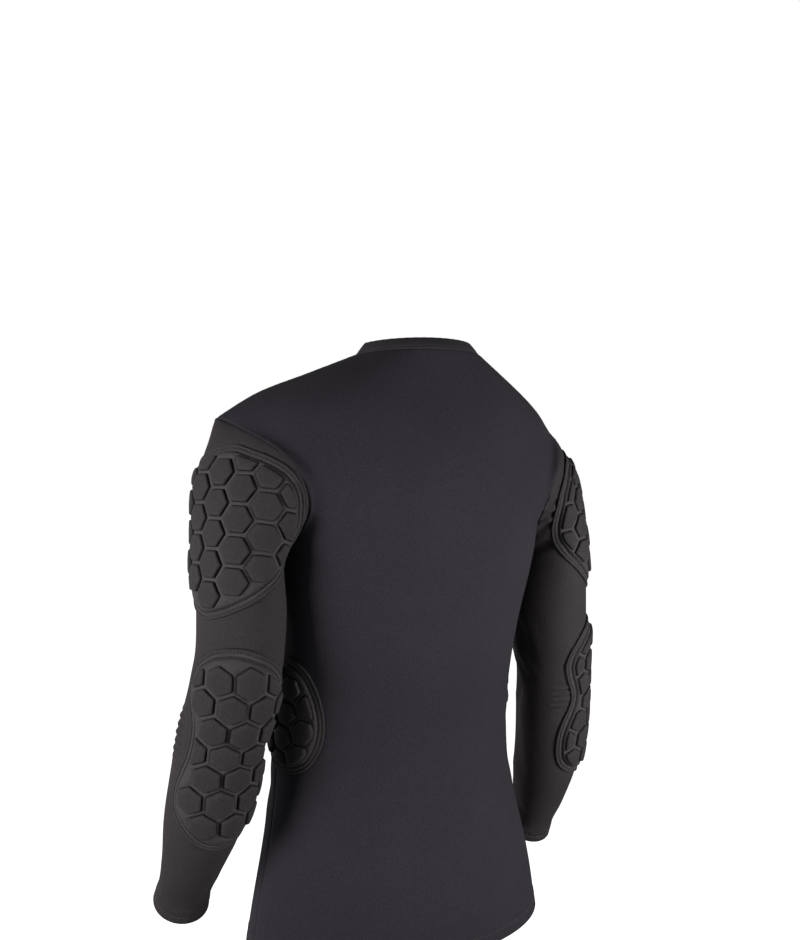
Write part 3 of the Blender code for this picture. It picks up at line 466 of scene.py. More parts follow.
def cubic_weights(xs, x):
    """The four grid lines round x and their shares in a smooth lookup, straight past the ends."""
    n = len(xs)
    f = np.clip((x - xs[0]) / (xs[1] - xs[0]), 0, n - 1)
    i = np.clip(f.astype(int), 0, n - 2)
    s = f - i
    before = -0.5 * s + s**2 - 0.5 * s**3
    here = 1 - 2.5 * s**2 + 1.5 * s**3
    ahead = 0.5 * s + 2 * s**2 - 1.5 * s**3
    beyond = -0.5 * s**2 + 0.5 * s**3
    first = i == 0
    here = np.where(first, here + 2 * before, here)
    ahead = np.where(first, ahead - before, ahead)
    before = np.where(first, 0, before)
    last = i == n - 2
    here = np.where(last, here - beyond, here)
    ahead = np.where(last, ahead + 2 * beyond, ahead)
    beyond = np.where(last, 0, beyond)
    return [np.clip(i + d, 0, n - 1) for d in (-1, 0, 1, 2)], (before, here, ahead, beyond)


def table_at(ts, us, g, t, u):
    """Smooth lookup in a regular grid."""
    it, ct = cubic_weights(ts, t)
    iu, cu = cubic_weights(us, u)
    out = 0
    for a in range(4):
        for b in range(4):
            out = out + g[it[a], iu[b]] * (ct[a] * cu[b])[..., None]
    return out


def body_point(back, t, u):
    """The same with the lines across evened out over the shoulder blades and the chest."""
    t, u = np.broadcast_arrays(np.asarray(t, float), np.asarray(u, float))
    p = table_at(*body_grid(back), t, u)
    end = np.where(u < 0, -1.0, 1.0)
    off = body_raw(back, t, end) - table_at(*body_grid(back), t, end)
    near_side = np.clip((np.abs(u) - 0.93) / 0.07, 0, 1)[..., None]
    return p + off * near_side


def armhole(theta):
    """Armhole loop of the left sleeve at an angle in degrees: 0 tip, 90 back, 180 armpit, 270 front."""
    k = body_knots()
    th = np.asarray(theta, float) % 360
    back = th <= 180
    f = np.where(back, th, 360 - th) / 180.0
    t = k[TIP] + (k[ARMPIT] - k[TIP]) * f
    pb = body_point(True, t, np.ones_like(t))
    pf = body_point(False, t, np.ones_like(t))
    return np.where(back[..., None], pb, pf)


def sleeve_knots():
    """Length along the arm at each sleeve ring."""
    c = np.array([r[1:4] for r in SLEEVE_ROWS])
    return np.concatenate([[0], np.cumsum(np.linalg.norm(np.diff(c, axis=0), axis=1))])


def sleeve_frame(s):
    """Centre, outward and backward directions, and the four radii, at a length along the arm."""
    k = sleeve_knots()
    tab = np.array([r[1:] for r in SLEEVE_ROWS])
    step = 0.002
    c = spline(k, tab[:, :3], s)
    ahead = spline(k, tab[:, :3], np.clip(s + step, 0, k[-1]))
    d = ahead - spline(k, tab[:, :3], np.clip(s - step, 0, k[-1]))
    d /= np.linalg.norm(d, axis=-1, keepdims=True)
    out = np.zeros_like(d)
    out[..., 0] = 1
    out -= (out * d).sum(-1, keepdims=True) * d
    out /= np.linalg.norm(out, axis=-1, keepdims=True)
    back = np.cross(out, d)
    back *= np.sign(back[..., 1:2])
    r = spline(k, tab[:, 3:], s)
    return c, out, back, r


def sleeve_tube(s, theta):
    """Sleeve ring at a length along the arm, four quarter ellipses."""
    c, out, back, r = sleeve_frame(np.asarray(s, float))
    th = np.radians(theta)
    cs, sn = np.cos(th), np.sin(th)
    rx = np.where(cs >= 0, r[..., 0], r[..., 2])
    ry = np.where(sn >= 0, r[..., 1], r[..., 3])
    return c + out * (rx * cs)[..., None] + back * (ry * sn)[..., None]


def sleeve_raw(t, theta):
    """Outer face of the left sleeve: t from -1 at the armhole to 0 at the first ring, then metres on."""
    t = np.asarray(t, float)
    theta = np.asarray(theta, float)
    t, theta = np.broadcast_arrays(t, theta)
    tube = sleeve_tube(np.maximum(t, 0), theta)
    w = np.clip(t + 1, 0, 1)[..., None]
    lv = np.array(LEAVE, float)
    p0 = armhole(theta)
    p1 = sleeve_tube(np.zeros_like(t), theta)
    reach = 0.9 * np.linalg.norm(p1 - p0, axis=-1, keepdims=True)
    d0 = unit(spline(lv[:, 0], lv[:, 1:], theta % 360)) * reach
    d1 = unit(sleeve_tube(np.full_like(t, 0.004), theta) - p1) * reach
    cap = p0 * (1 + 2 * w) * (1 - w) ** 2 + d0 * w * (1 - w) ** 2
    cap += p1 * w * w * (3 - 2 * w) - d1 * w * w * (1 - w)
    return np.where((t < 0)[..., None], cap, tube)


CAP = []


def cap_grid():
    """The sleeve's cap sampled finely and evened out round the arm, from the armhole to the first ring."""
    if not CAP:
        ts = np.linspace(-1, 0, 41)
        round_arm = np.arange(0, 360, 3.0)
        g = sleeve_raw(ts[:, None], round_arm[None, :])
        w = np.clip((ts + 1) / 0.22, 0, 1) * np.clip(-ts / 0.30, 0, 1)
        w = (w * w * (3 - 2 * w))[:, None, None]
        from_outside = np.abs((round_arm + 180) % 360 - 180)
        w = w * np.clip((85 - from_outside) / 45, 0, 1)[None, :, None]
        for _ in range(60):
            g += 0.5 * w * (0.5 * (np.roll(g, 1, 1) + np.roll(g, -1, 1)) - g)
        overlap = 20
        full = np.concatenate([g[:, -overlap:], g, g[:, : overlap + 1]], 1)
        CAP.append((ts, np.arange(-3.0 * overlap, 360 + 3.0 * overlap + 1, 3.0), full))
    return CAP[0]


def sleeve_point(t, theta):
    """Outer face of the left sleeve, as sleeve_raw gives it, with its cap evened out."""
    t, theta = np.broadcast_arrays(np.asarray(t, float), np.asarray(theta, float) % 360)
    ts, th, g = cap_grid()
    cap = table_at(ts, th, g, np.minimum(t, 0), theta)
    top = np.full_like(t, -1.0)
    near_seam = np.clip((-0.93 - t) / 0.07, 0, 1)[..., None]
    cap = cap + (sleeve_raw(top, theta) - table_at(ts, th, g, top, theta)) * near_seam
    return np.where((t < 0)[..., None], cap, sleeve_raw(np.maximum(t, 0), theta))


def unit(v):
    """Vectors scaled to length 1."""
    return v / np.maximum(np.linalg.norm(v, axis=-1, keepdims=True), 1e-12)


def even_patch(lines, centre, us, vs):
    """Grid of points at even lengths: lines is one dense curve per station, centre its middle index."""
    mid = lines[:, centre]
    along = np.concatenate([[0], np.cumsum(np.linalg.norm(np.diff(mid, axis=0), axis=1))])
    out = np.empty((len(vs), len(us), 3))
    rows = np.empty((len(vs), lines.shape[1], 3))
    for j in range(lines.shape[1]):
        for c in range(3):
            rows[:, j, c] = np.interp(vs, along, lines[:, j, c])
    for i in range(len(vs)):
        r = rows[i]
        d = np.concatenate([[0], np.cumsum(np.linalg.norm(np.diff(r, axis=0), axis=1))])
        d -= d[centre]
        for c in range(3):
            out[i, :, c] = np.interp(us, d, r[:, c])
    return out


class Patch:
    """Flat pad coordinates in metres laid on a surface: u round it, v along it."""

    def __init__(self, us, vs, grid):
        g = grid.copy()
        g[1:-1] += 0.25 * (grid[2:] + grid[:-2] - 2 * grid[1:-1])
        smooth = g.copy()
        smooth[:, 1:-1] += 0.25 * (g[:, 2:] + g[:, :-2] - 2 * g[:, 1:-1])
        self.us, self.vs, self.grid = us, vs, smooth

    def at(self, u, v, h=0.0):
        u, v = np.broadcast_arrays(np.asarray(u, float), np.asarray(v, float))
        step = 0.002
        across = self.look(u + step, v) - self.look(u - step, v)
        along = self.look(u, v + step) - self.look(u, v - step)
        return self.look(u, v) + unit(np.cross(across, along)) * np.asarray(h, float)[..., None]

    def look(self, u, v):
        return table_at(self.vs, self.us, self.grid, v, u)


def shoulder_patch():
    """Lines round the shoulder and upper arm, about an axis up the arm, and the middle one's index."""
    up = unit(np.array([-0.08, -0.12, 0.99]))
    base = np.array([0.194, 0.010, -0.200])
    outw = unit(np.array([1.0, 0, 0]) - up * up[0])
    backw = np.cross(up, outw)
    th = np.arange(0, 360, 3.0)
    t = np.concatenate([np.linspace(-1, 0, 61)[:-1], np.linspace(0, 0.15, 61)])
    g = sleeve_point(t[:, None], th[None, :]) - base
    h = g @ up
    x, y = g @ outw, g @ backw
    hs = np.linspace(-0.125, 0.118, 100)
    psi = np.radians(np.arange(-115, 126, 2.0))
    rho = np.empty((len(hs), len(psi)))
    ang, rad = np.empty((len(hs), len(th))), np.empty((len(hs), len(th)))
    for j in range(len(th)):
        o = np.argsort(h[:, j])
        ang[:, j] = np.interp(hs, h[o, j], np.unwrap(np.arctan2(y[:, j], x[:, j]))[o])
        rad[:, j] = np.interp(hs, h[o, j], np.hypot(x[:, j], y[:, j])[o])
        ang[:, j] = (ang[:, j] + math.pi) % (2 * math.pi) - math.pi
    for i in range(len(hs)):
        o = np.argsort(ang[i])
        a, r = ang[i][o], rad[i][o]
        turned = np.concatenate([a - 2 * math.pi, a, a + 2 * math.pi])
        rho[i] = np.interp(psi, turned, np.concatenate([r, r, r]))
    lines = base + up * hs[:, None, None]
    lines = lines + outw * (rho * np.cos(psi))[..., None] + backw * (rho * np.sin(psi))[..., None]
    centre = int(np.argmin(np.abs(psi - math.radians(20))))
    return lines, centre


def elbow_patch():
    """Rings of the sleeve from the cuff upwards, opened at the front of the arm."""
    ss = np.linspace(0.03, sleeve_knots()[-1], 100)
    ths = np.arange(30 - 165, 30 + 166, 3.0)
    lines = sleeve_point(ss[:, None], ths[None, :])[::-1]
    return lines, len(ths) // 2


def rib_patch():
    """Rows of the body across the left side seam, from front to back."""
    k = body_knots()
    ts = np.linspace(k[2], k[ARMPIT], 80)
    w = np.linspace(0, 1, 61)
    fr = body_point(False, ts[:, None], 1 - 0.75 * w[::-1][None, :])
    bk = body_point(True, ts[:, None], 1 - 0.75 * w[None, :])
    lines = np.concatenate([fr, bk[:, 1:]], 1)
    return lines, 60


def make_patches():
    """The surface under each kind of pad on the left side, opened flat."""
    out = {}
    spans = (("shoulder", shoulder_patch, 0.125), ("elbow", elbow_patch, 0.125), ("rib", rib_patch, 0.085))
    for name, make_lines, span in spans:
        lines, middle = make_lines()
        total = np.linalg.norm(np.diff(lines[:, middle], axis=0), axis=1).sum()
        us = np.arange(-span, span + 1e-9, 0.004)
        vs = np.arange(0, total, 0.004)
        out[name] = Patch(us, vs, even_patch(lines, middle, us, vs))
    return out


# Flat shapes of the pads


def closed_curve(pts, step):
    """Smooth closed line through the points, at even steps."""
    p = np.array(pts, float)
    n = len(p)
    out = []
    for i in range(n):
        a, b, c, d = p[i - 1], p[i], p[(i + 1) % n], p[(i + 2) % n]
        for s in np.linspace(0, 1, 12, endpoint=False):
            bend = (2 * a - 5 * b + 4 * c - d) * s**2 + (3 * b - a - 3 * c + d) * s**3
            out.append(0.5 * (2 * b + (c - a) * s + bend))
    return even_loop(np.array(out), step)


def even_loop(p, step=None, count=None):
    """The closed line again, at even steps."""
    q = np.concatenate([p, p[:1]])
    d = np.concatenate([[0], np.cumsum(np.linalg.norm(np.diff(q, axis=0), axis=1))])
    m = count or max(8, int(round(d[-1] / step)))
    at = np.linspace(0, d[-1], m, endpoint=False)
    return np.column_stack([np.interp(at, d, q[:, c]) for c in range(q.shape[1])])


def area2(p):
    """Twice the area of a closed line, positive when it runs anticlockwise."""
    x, y = p[:, 0], p[:, 1]
    return float(np.sum(x * np.roll(y, -1) - y * np.roll(x, -1)))


def inset(p, d):
    """Closed line moved inwards by d, in small steps so that tight bends stay clean."""
    count = max(1, int(math.ceil(abs(d) / 2.0)))
    side = 1 if area2(p) > 0 else -1
    for _ in range(count):
        t = unit(np.roll(p, -1, axis=0) - np.roll(p, 1, axis=0))
        p = p + np.column_stack([-t[:, 1], t[:, 0]]) * side * d / count
    return p


def side_of(a, b, q):
    """Positive where q is to the left of the line from a to b."""
    return (b[0] - a[0]) * (q[1] - a[1]) - (b[1] - a[1]) * (q[0] - a[0])


def clip(poly, hexagon):
    """The part of a closed line inside a convex polygon."""
    out = [tuple(q) for q in poly]
    n = len(hexagon)
    for i in range(n):
        a, b = hexagon[i], hexagon[(i + 1) % n]
        new = []
        for j, q in enumerate(out):
            r = out[j - 1]
            sq, sr = side_of(a, b, q), side_of(a, b, r)
            if (sq >= 0) != (sr >= 0):
                f = sr / (sr - sq)
                new.append((r[0] + (q[0] - r[0]) * f, r[1] + (q[1] - r[1]) * f))
            if sq >= 0:
                new.append(q)
        out = new
        if not out:
            return np.zeros((0, 2))
    return np.array(out)


def centroid(p):
    """Centre of the area inside a closed line."""
    x, y = p[:, 0], p[:, 1]
    x1, y1 = np.roll(x, -1), np.roll(y, -1)
    c = x * y1 - x1 * y
    return np.array([((x + x1) * c).sum(), ((y + y1) * c).sum()]) / (3 * c.sum())


def inner_radius(p, c):
    """Distance from c to the nearest side of a closed line."""
    q = np.roll(p, -1, axis=0)
    long = np.linalg.norm(q - p, axis=1) > 1e-6
    d = unit((q - p)[long])
    r = (c - p)[long]
    return float(np.min(np.abs(d[:, 0] * r[:, 1] - d[:, 1] * r[:, 0])))


def rounded(loop, radius, count):
    """Closed line with its corners rounded, at even steps."""
    p = even_loop(loop, count=count * 4)
    step = np.linalg.norm(np.roll(p, -1, axis=0) - p, axis=1).mean()
    for _ in range(int((radius / step) ** 2)):
        p = p + 0.25 * (np.roll(p, 1, axis=0) + np.roll(p, -1, axis=0) - 2 * p)
    return even_loop(p, count=count)


def pad_cells(outline, pitch, lean, centre):
    """Cell footprints: regular hexagons, cut where they meet the flange, with rounded corners."""
    inner = inset(outline, FLANGE_WIDTH + 0.3)
    ang = math.radians(lean)
    along = np.array([math.cos(ang), math.sin(ang)])
    across = np.array([-math.sin(ang), math.cos(ang)])
    r = (pitch / 2 - HALF_GROOVE) / math.cos(math.pi / 6)
    turns = [k * math.pi / 3 for k in range(6)]
    corners = [r * (along * math.cos(turn) + across * math.sin(turn)) for turn in turns]
    cells = []
    for i in range(-9, 10):
        for j in range(-9, 10):
            at = np.array(centre) + i * pitch * math.sqrt(3) / 2 * along
            at = at + (j + 0.5 * (i % 2)) * pitch * across
            foot = clip(inner, [at + corner for corner in corners])
            if len(foot) < 3 or abs(area2(foot)) / 2 < 60:
                continue
            if area2(foot) < 0:
                foot = foot[::-1]
            if inner_radius(foot, centroid(foot)) < 3.4:
                continue
            foot = rounded(foot, 1.0, 54)
            cells.append((foot, centroid(foot)))
    return cells


def inside(q, poly):
    """Which points lie within a closed line."""
    x, y = q[:, 0][:, None], q[:, 1][:, None]
    x0, y0 = poly[:, 0], poly[:, 1]
    x1, y1 = np.roll(x0, 1), np.roll(y0, 1)
    with np.errstate(divide="ignore", invalid="ignore"):
        hit = ((y0 > y) != (y1 > y)) & (x < (x1 - x0) * (y - y0) / (y1 - y0) + x0)
    return hit.sum(1) % 2 == 1


def fill(points, loops):
    """Triangles between the loops on the given points, and none inside the later loops."""
    edges = []
    for loop in loops:
        edges += [(loop[i], loop[(i + 1) % len(loop)]) for i in range(len(loop))]
    result = delaunay_2d_cdt([Vector(p) for p in points], edges, [], 1, 1e-5)
    index = [given[0] for given in result[3]]
    faces = np.array([[index[k] for k in f] for f in result[2]])
    mid = np.array(points)[faces].mean(1)
    keep = np.ones(len(faces), bool)
    for loop in loops[1:]:
        keep &= ~inside(mid, np.array(points)[loop])
    return faces[keep]


def ring_faces(first, second, count):
    """Faces between two rings of points, by the index each starts at."""
    step = [(k, (k + 1) % count) for k in range(count)]
    return [(first + a, first + b, second + b, second + a) for a, b in step]


class Pad:
    """One pad's faces in flat coordinates, millimetres: x, y, height over the cloth, and tone, which holds
    painted shade and painted highlight.
    """

    def __init__(self, kind, outline_pts, pitch, lean, centre):
        self.outline = closed_curve(outline_pts, 1.8)
        if area2(self.outline) < 0:
            self.outline = self.outline[::-1]
        self.pts = []
        self.faces = []
        n = len(self.outline)
        rings = [self.ring(inset(self.outline, d), h, tone) for d, h, tone in RIM]
        for a, b in zip(rings[:-1], rings[1:]):
            self.faces += ring_faces(a, b, n)
        loops = [list(range(rings[-1], rings[-1] + n))]
        chance = random.Random(kind)
        for foot, c in pad_cells(self.outline, pitch, lean, centre):
            bank = self.add_cell(foot, c, chance)
            loops.append(list(range(bank, bank + len(foot))))
        used = [k for loop in loops for k in loop]
        place = {k: i for i, k in enumerate(used)}
        flat = [self.pts[k][:2] for k in used]
        for f in fill(flat, [[place[k] for k in loop] for loop in loops]):
            self.faces.append(tuple(used[k] for k in f))
        self.close_below(n)

    def ring(self, line, height, tone):
        first = len(self.pts)
        height = np.broadcast_to(height, len(line))
        self.pts += [(x, y, h, tone) for (x, y), h in zip(line, height)]
        return first

    def add_cell(self, foot, c, chance):
        """One raised cell, a little uneven in height and tilt; gives the index of its outermost ring."""
        count = len(foot)
        small = inner_radius(foot, c)
        rise = (CELL + chance.uniform(-0.3, 0.3) - FLOOR) * min(1.0, 0.55 + 0.05 * small)
        tilt = np.array([chance.uniform(-0.02, 0.02), chance.uniform(-0.02, 0.02)])
        tone = chance.uniform(0.96, 1.04)
        # Painted light: the groove floor beside the cell gets tone 1.6, lightened where the cells shade it
        bank = self.ring(foot - unit(c - foot) * BANK, FLOOR, 1.6)
        before = bank
        for d, share, shade in DOME:
            if d > 0.75 * small:
                break
            line = c + (foot - c) * (1 - d / small)
            height = FLOOR + rise * share + (line - c) @ tilt * max(0, share)
            now = self.ring(line, height, shade * tone)
            self.faces += ring_faces(before, now, count)
            before = now
        top = self.ring([c], FLOOR + rise + 0.2, tone)
        self.faces += [(before + k, before + (k + 1) % count, top) for k in range(count)]
        return bank

    def close_below(self, n):
        """Plain underside, joined to the outermost ring, its tone halved as painted shade under the pad."""
        lo, hi = self.outline.min(0), self.outline.max(0)
        x, y = np.meshgrid(np.arange(lo[0], hi[0], 8.0), np.arange(lo[1], hi[1], 8.0))
        q = np.column_stack([x.ravel(), y.ravel()])
        q = q[inside(q, inset(self.outline, 4.0))]
        base = np.concatenate([self.outline, q])
        low = self.ring(base, PAD_BASE, 0.5)
        self.faces += [(low + c, low + b, low + a) for a, b, c in fill(base.tolist(), [list(range(n))])]
        self.faces += [(low + k, low + (k + 1) % n, (k + 1) % n, k) for k in range(n)]

    def on(self, patch, turn):
        """The pad's points on the garment's surface."""
        p = np.array(self.pts) / 1000
        return patch.at(p[:, 0] + turn, p[:, 1], p[:, 2])


# Cloth


def grid_normals(g, wrap=False):
    """Directions square to a grid of points."""
    if wrap:
        du = np.roll(g, -1, 1) - np.roll(g, 1, 1)
    else:
        du = np.empty_like(g)
        du[:, 1:-1] = g[:, 2:] - g[:, :-2]
        du[:, 0] = g[:, 1] - g[:, 0]
        du[:, -1] = g[:, -1] - g[:, -2]
    dv = np.empty_like(g)
    dv[1:-1] = g[2:] - g[:-2]
    dv[0] = g[1] - g[0]
    dv[-1] = g[-1] - g[-2]
    return unit(np.cross(du, dv))


def steps(a, b, step, fine_start, fine_end):
    """Stations from a to b: fine ones near each end, then even ones between."""
    mid = np.linspace(a + fine_start[-1], b - fine_end[-1], int(round((b - a) / step)) + 1)
    start = [a] + [a + d for d in fine_start[:-1]]
    end = [b - d for d in fine_end[:-1]][::-1] + [b]
    return np.concatenate([start, mid, end])


def lengths(g, axis):
    """Length along the grid's rows or columns from its first line."""
    d = np.linalg.norm(np.diff(g, axis=axis), axis=-1)
    pad = [(0, 0), (0, 0)]
    pad[axis] = (1, 0)
    return np.pad(np.cumsum(d, axis=axis), pad)


def ring_lengths(g):
    """Length round each ring of a wrapped grid from its first point."""
    return lengths(np.concatenate([g, g[:, :1]], 1), 1)[:, :-1]


def soft_noise(p, scale, seed):
    """Slow wave mix, about -1 to 1, that repeats nowhere near a garment's size."""
    rng = np.random.RandomState(seed)
    out = 0
    for _ in range(6):
        k = rng.normal(size=3)
        k *= 2 * math.pi / (scale * np.linalg.norm(k)) * rng.uniform(0.7, 1.5)
        out = out + np.sin(p @ k + rng.uniform(0, 6.3))
    return out / 3.0


def fold(g, path, width, depth, ridge=0.4):
    """Soft trough along a path on the cloth, deepest in its middle, with a low ridge at each side."""
    lo, hi = path.min(0) - 4 * width, path.max(0) + 4 * width
    near = np.all((g >= lo) & (g <= hi), axis=-1)
    out = np.zeros(g.shape[:-1])
    if not near.any():
        return out
    p = g[near]
    best = np.full(len(p), 1e9)
    along = np.zeros(len(p))
    step = np.linalg.norm(np.diff(path, axis=0), axis=1)
    start = np.concatenate([[0], np.cumsum(step)])
    for i in range(len(path) - 1):
        a, b = path[i], path[i + 1]
        s = np.clip(((p - a) @ (b - a)) / max(step[i] ** 2, 1e-12), 0, 1)
        d = np.linalg.norm(p - a - s[:, None] * (b - a), axis=1)
        better = d < best
        best[better] = d[better]
        along[better] = (start[i] + s[better] * step[i]) / start[-1]
    taper = np.sin(np.pi * np.clip(0.06 + 0.88 * along, 0, 1)) ** 0.8
    x = best / width
    out[near] = -depth * taper * (np.exp(-x * x) - ridge * np.exp(-((x - 2.0) ** 2) / 0.8))
    return out


def seam_pucker(distance, along, seed):
    """Cloth drawn in at a seam, with small uneven puckers beside it."""
    shift = np.random.RandomState(seed).uniform(0, 6)
    wave = np.sin(along * 2 * math.pi / 0.0105 + shift) + 0.6 * np.sin(along * 2 * math.pi / 0.0171 + 1.3)
    drawn = PINCH * np.exp(-((distance / 0.0016) ** 2))
    return 0.00016 * wave * np.exp(-((distance / 0.0065) ** 2)) - drawn


def folded_share(t, turned):
    """1 on the turned-up edge, 0 beyond it."""
    return 1 / (1 + np.exp(np.clip((t - turned) / 0.0006, -40, 40)))


def hem_lift(t, along, turned, lines, seed):
    """The turned-up edge: two layers thick, its stitch lines pulled in, fine puckers along them."""
    shift = np.random.RandomState(seed).uniform(0, 6)
    ruck = np.sin(along * 2 * math.pi / 0.0088 + shift) + 0.7 * np.sin(along * 2 * math.pi / 0.0139)
    out = FOLD * folded_share(t, turned)
    for line in lines:
        out = out - 0.0005 * np.exp(-(((t - line) / 0.0011) ** 2))
    return out + 0.00018 * ruck * np.exp(-(((t - lines[-1]) / 0.0060) ** 2))


def wall(t, turned):
    """Cloth wall, double on the turned edge and closing to a round lip, and how far the lip draws in."""
    thick = WALL + FOLD * folded_share(t, turned)
    lip = np.sqrt(np.clip(1 - (1 - np.clip(t / 0.0012, 0, 1)) ** 2, 0.04, 1))
    return thick * lip, thick * (1 - lip) / 2


def strip(a, b, c, d):
    return np.column_stack([np.ravel(a), np.ravel(b), np.ravel(c), np.ravel(d)])


def cloth_shell(g, n, lift, thick, wrap, seams):
    """Closed wall: lift moves the points g out, thick is the wall, seams lists borders with a gap."""
    outer = g + n * lift[:, :, None]
    outer[0] += unit(g[1] - g[0]) * SEAM * ("start" in seams)
    outer[-1] += unit(g[-2] - g[-1]) * SEAM * ("end" in seams)
    outer[:, 0] += unit(g[:, 1] - g[:, 0]) * SEAM * ("sides" in seams)
    outer[:, -1] += unit(g[:, -2] - g[:, -1]) * SEAM * ("sides" in seams)
    inner = outer - n * thick[:, :, None]
    rows, cols = g.shape[:2]
    m = rows * cols
    index = np.arange(m).reshape(rows, cols)
    if wrap:
        index = np.concatenate([index, index[:, :1]], 1)
    a, b, c, d = index[:-1, :-1], index[:-1, 1:], index[1:, 1:], index[1:, :-1]
    first, last = index[0], index[-1]
    faces = [
        strip(a, b, c, d),
        strip(m + a, m + d, m + c, m + b),
        strip(first[1:], first[:-1], m + first[:-1], m + first[1:]),
        strip(last[:-1], last[1:], m + last[1:], m + last[:-1]),
    ]
    if not wrap:
        left, right = index[:, 0], index[:, -1]
        faces.append(strip(left[:-1], left[1:], m + left[1:], m + left[:-1]))
        faces.append(strip(right[1:], right[:-1], m + right[:-1], m + right[1:]))
    return np.concatenate([outer.reshape(-1, 3), inner.reshape(-1, 3)]), np.concatenate(faces)


def mesh_object(name, verts, faces, material, uv=None):
    """Smooth-shaded object, with a flat coordinate for each point where uv is given."""
    mesh = bpy.data.meshes.new(name)
    mesh.from_pydata(np.asarray(verts, float).tolist(), [], [tuple(int(k) for k in f) for f in faces])
    bm = bmesh.new()
    bm.from_mesh(mesh)
    bmesh.ops.recalc_face_normals(bm, faces=bm.faces[:])
    bm.to_mesh(mesh)
    bm.free()
    mesh.polygons.foreach_set("use_smooth", [True] * len(mesh.polygons))
    if uv is not None:
        layer = mesh.uv_layers.new(name="cloth")
        at = np.empty(len(mesh.loops), int)
        mesh.loops.foreach_get("vertex_index", at)
        layer.data.foreach_set("uv", np.asarray(uv, float)[at].ravel())
    mesh.materials.append(material)
    ob = bpy.data.objects.new(name, mesh)
    bpy.context.scene.collection.objects.link(ob)
    return ob


def threads(a, b, n, radius):
    """Verts and faces of a short thread for each pair of ends a, b on a surface with normals n."""
    d = unit(b - a)
    s = unit(np.cross(d, n))
    up = np.cross(s, d)
    rows = [a - n * radius]
    for f in (0.22, 0.78):
        mid = a + (b - a) * f + n * radius * 0.35
        for x, y in ((1, 0), (0, 1), (-1, 0), (0, -1)):
            rows.append(mid + (s * x + up * y * 0.8) * radius)
    rows.append(b - n * radius)
    verts = np.stack(rows, 1).reshape(-1, 3)
    one = [(0, 1, 2), (0, 2, 3), (0, 3, 4), (0, 4, 1), (9, 6, 5), (9, 7, 6), (9, 8, 7), (9, 5, 8)]
    one += [(1, 5, 6), (1, 6, 2), (2, 6, 7), (2, 7, 3), (3, 7, 8), (3, 8, 4), (4, 8, 5), (4, 5, 1)]
    faces = (np.array(one)[None] + 10 * np.arange(len(a))[:, None, None]).reshape(-1, 3)
    return verts, faces


def row_threads(g, n, lift, across, line, stitch, wrap):
    """One row of stitches along the grid; across is the distance from the edge and line the row's own."""
    length, gap, radius = stitch
    rows = []
    for j in range(g.shape[1]):
        order = np.argsort(across[:, j])
        d = across[order, j]
        both = np.concatenate([g[:, j] + n[:, j] * lift[:, j, None], n[:, j]], 1)[order]
        rows.append([np.interp(line, d, both[:, c]) for c in range(6)])
    rows = np.array(rows)
    if wrap:
        rows = np.concatenate([rows, rows[:1]])
    d = np.concatenate([[0], np.cumsum(np.linalg.norm(np.diff(rows[:, :3], axis=0), axis=1))])
    start = np.arange(0.001, d[-1] - length, length + gap)
    a = np.column_stack([np.interp(start, d, rows[:, c]) for c in range(6)])
    b = np.column_stack([np.interp(start + length, d, rows[:, c]) for c in range(3)])
    return threads(a[:, :3], b, unit(a[:, 3:]), radius)


def joined(parts):
    """Several meshes as one."""
    verts, faces, k = [], [], 0
    for v, f in parts:
        verts.append(v)
        faces.append(np.asarray(f) + k)
        k += len(v)
    return np.concatenate(verts), np.concatenate(faces)


def mirrored(verts, faces):
    """The same mesh on the other side of the shirt."""
    return np.asarray(verts) * np.array([-1.0, 1, 1]), [tuple(f)[::-1] for f in faces]


# Materials


class Nodes:
    """Short names for the node wiring of one material."""

    def __init__(self, name):
        self.material = bpy.data.materials.new(name)
        self.material.use_nodes = True
        self.tree = self.material.node_tree
        self.bsdf = self.tree.nodes["Principled BSDF"]

    def add(self, kind, **values):
        node = self.tree.nodes.new(kind)
        for key, value in values.items():
            socket = node.inputs[key.replace("_", " ")]
            if hasattr(value, "is_output"):
                self.tree.links.new(value, socket)
            else:
                socket.default_value = value
        return node

    def noise(self, place, size, detail):
        return self.add("ShaderNodeTexNoise", Vector=place, Scale=size, Detail=detail).outputs["Fac"]

    def maths(self, operation, a, b=0.0):
        node = self.tree.nodes.new("ShaderNodeMath")
        node.operation = operation
        for socket, value in zip(node.inputs, (a, b)):
            if hasattr(value, "is_output"):
                self.tree.links.new(value, socket)
            else:
                socket.default_value = value
        return node.outputs[0]

    def ramp(self, value, low, high, out_low, out_high):
        spans = {"From_Min": low, "From_Max": high, "To_Min": out_low, "To_Max": out_high}
        return self.add("ShaderNodeMapRange", Value=value, **spans).outputs["Result"]

    def set(self, **values):
        for key, value in values.items():
            self.bsdf.inputs[key.replace("_", " ")].default_value = value

    def link(self, output, name):
        self.tree.links.new(output, self.bsdf.inputs[name])

    def tint(self, tone, colour):
        """Base colour: the given colour times the tone, which stays between 0 and 2."""
        mix = self.tree.nodes.new("ShaderNodeMix")
        mix.data_type = "RGBA"
        mix.inputs["A"].default_value = (0, 0, 0, 1)
        mix.inputs["B"].default_value = (*[c * 2 for c in colour], 1)
        self.tree.links.new(self.maths("MULTIPLY", tone, 0.5), mix.inputs["Factor"])
        self.link(mix.outputs["Result"], "Base Color")

    def bump(self, height, strength, distance):
        node = self.add("ShaderNodeBump", Height=height, Strength=strength, Distance=distance)
        self.link(node.outputs["Normal"], "Normal")


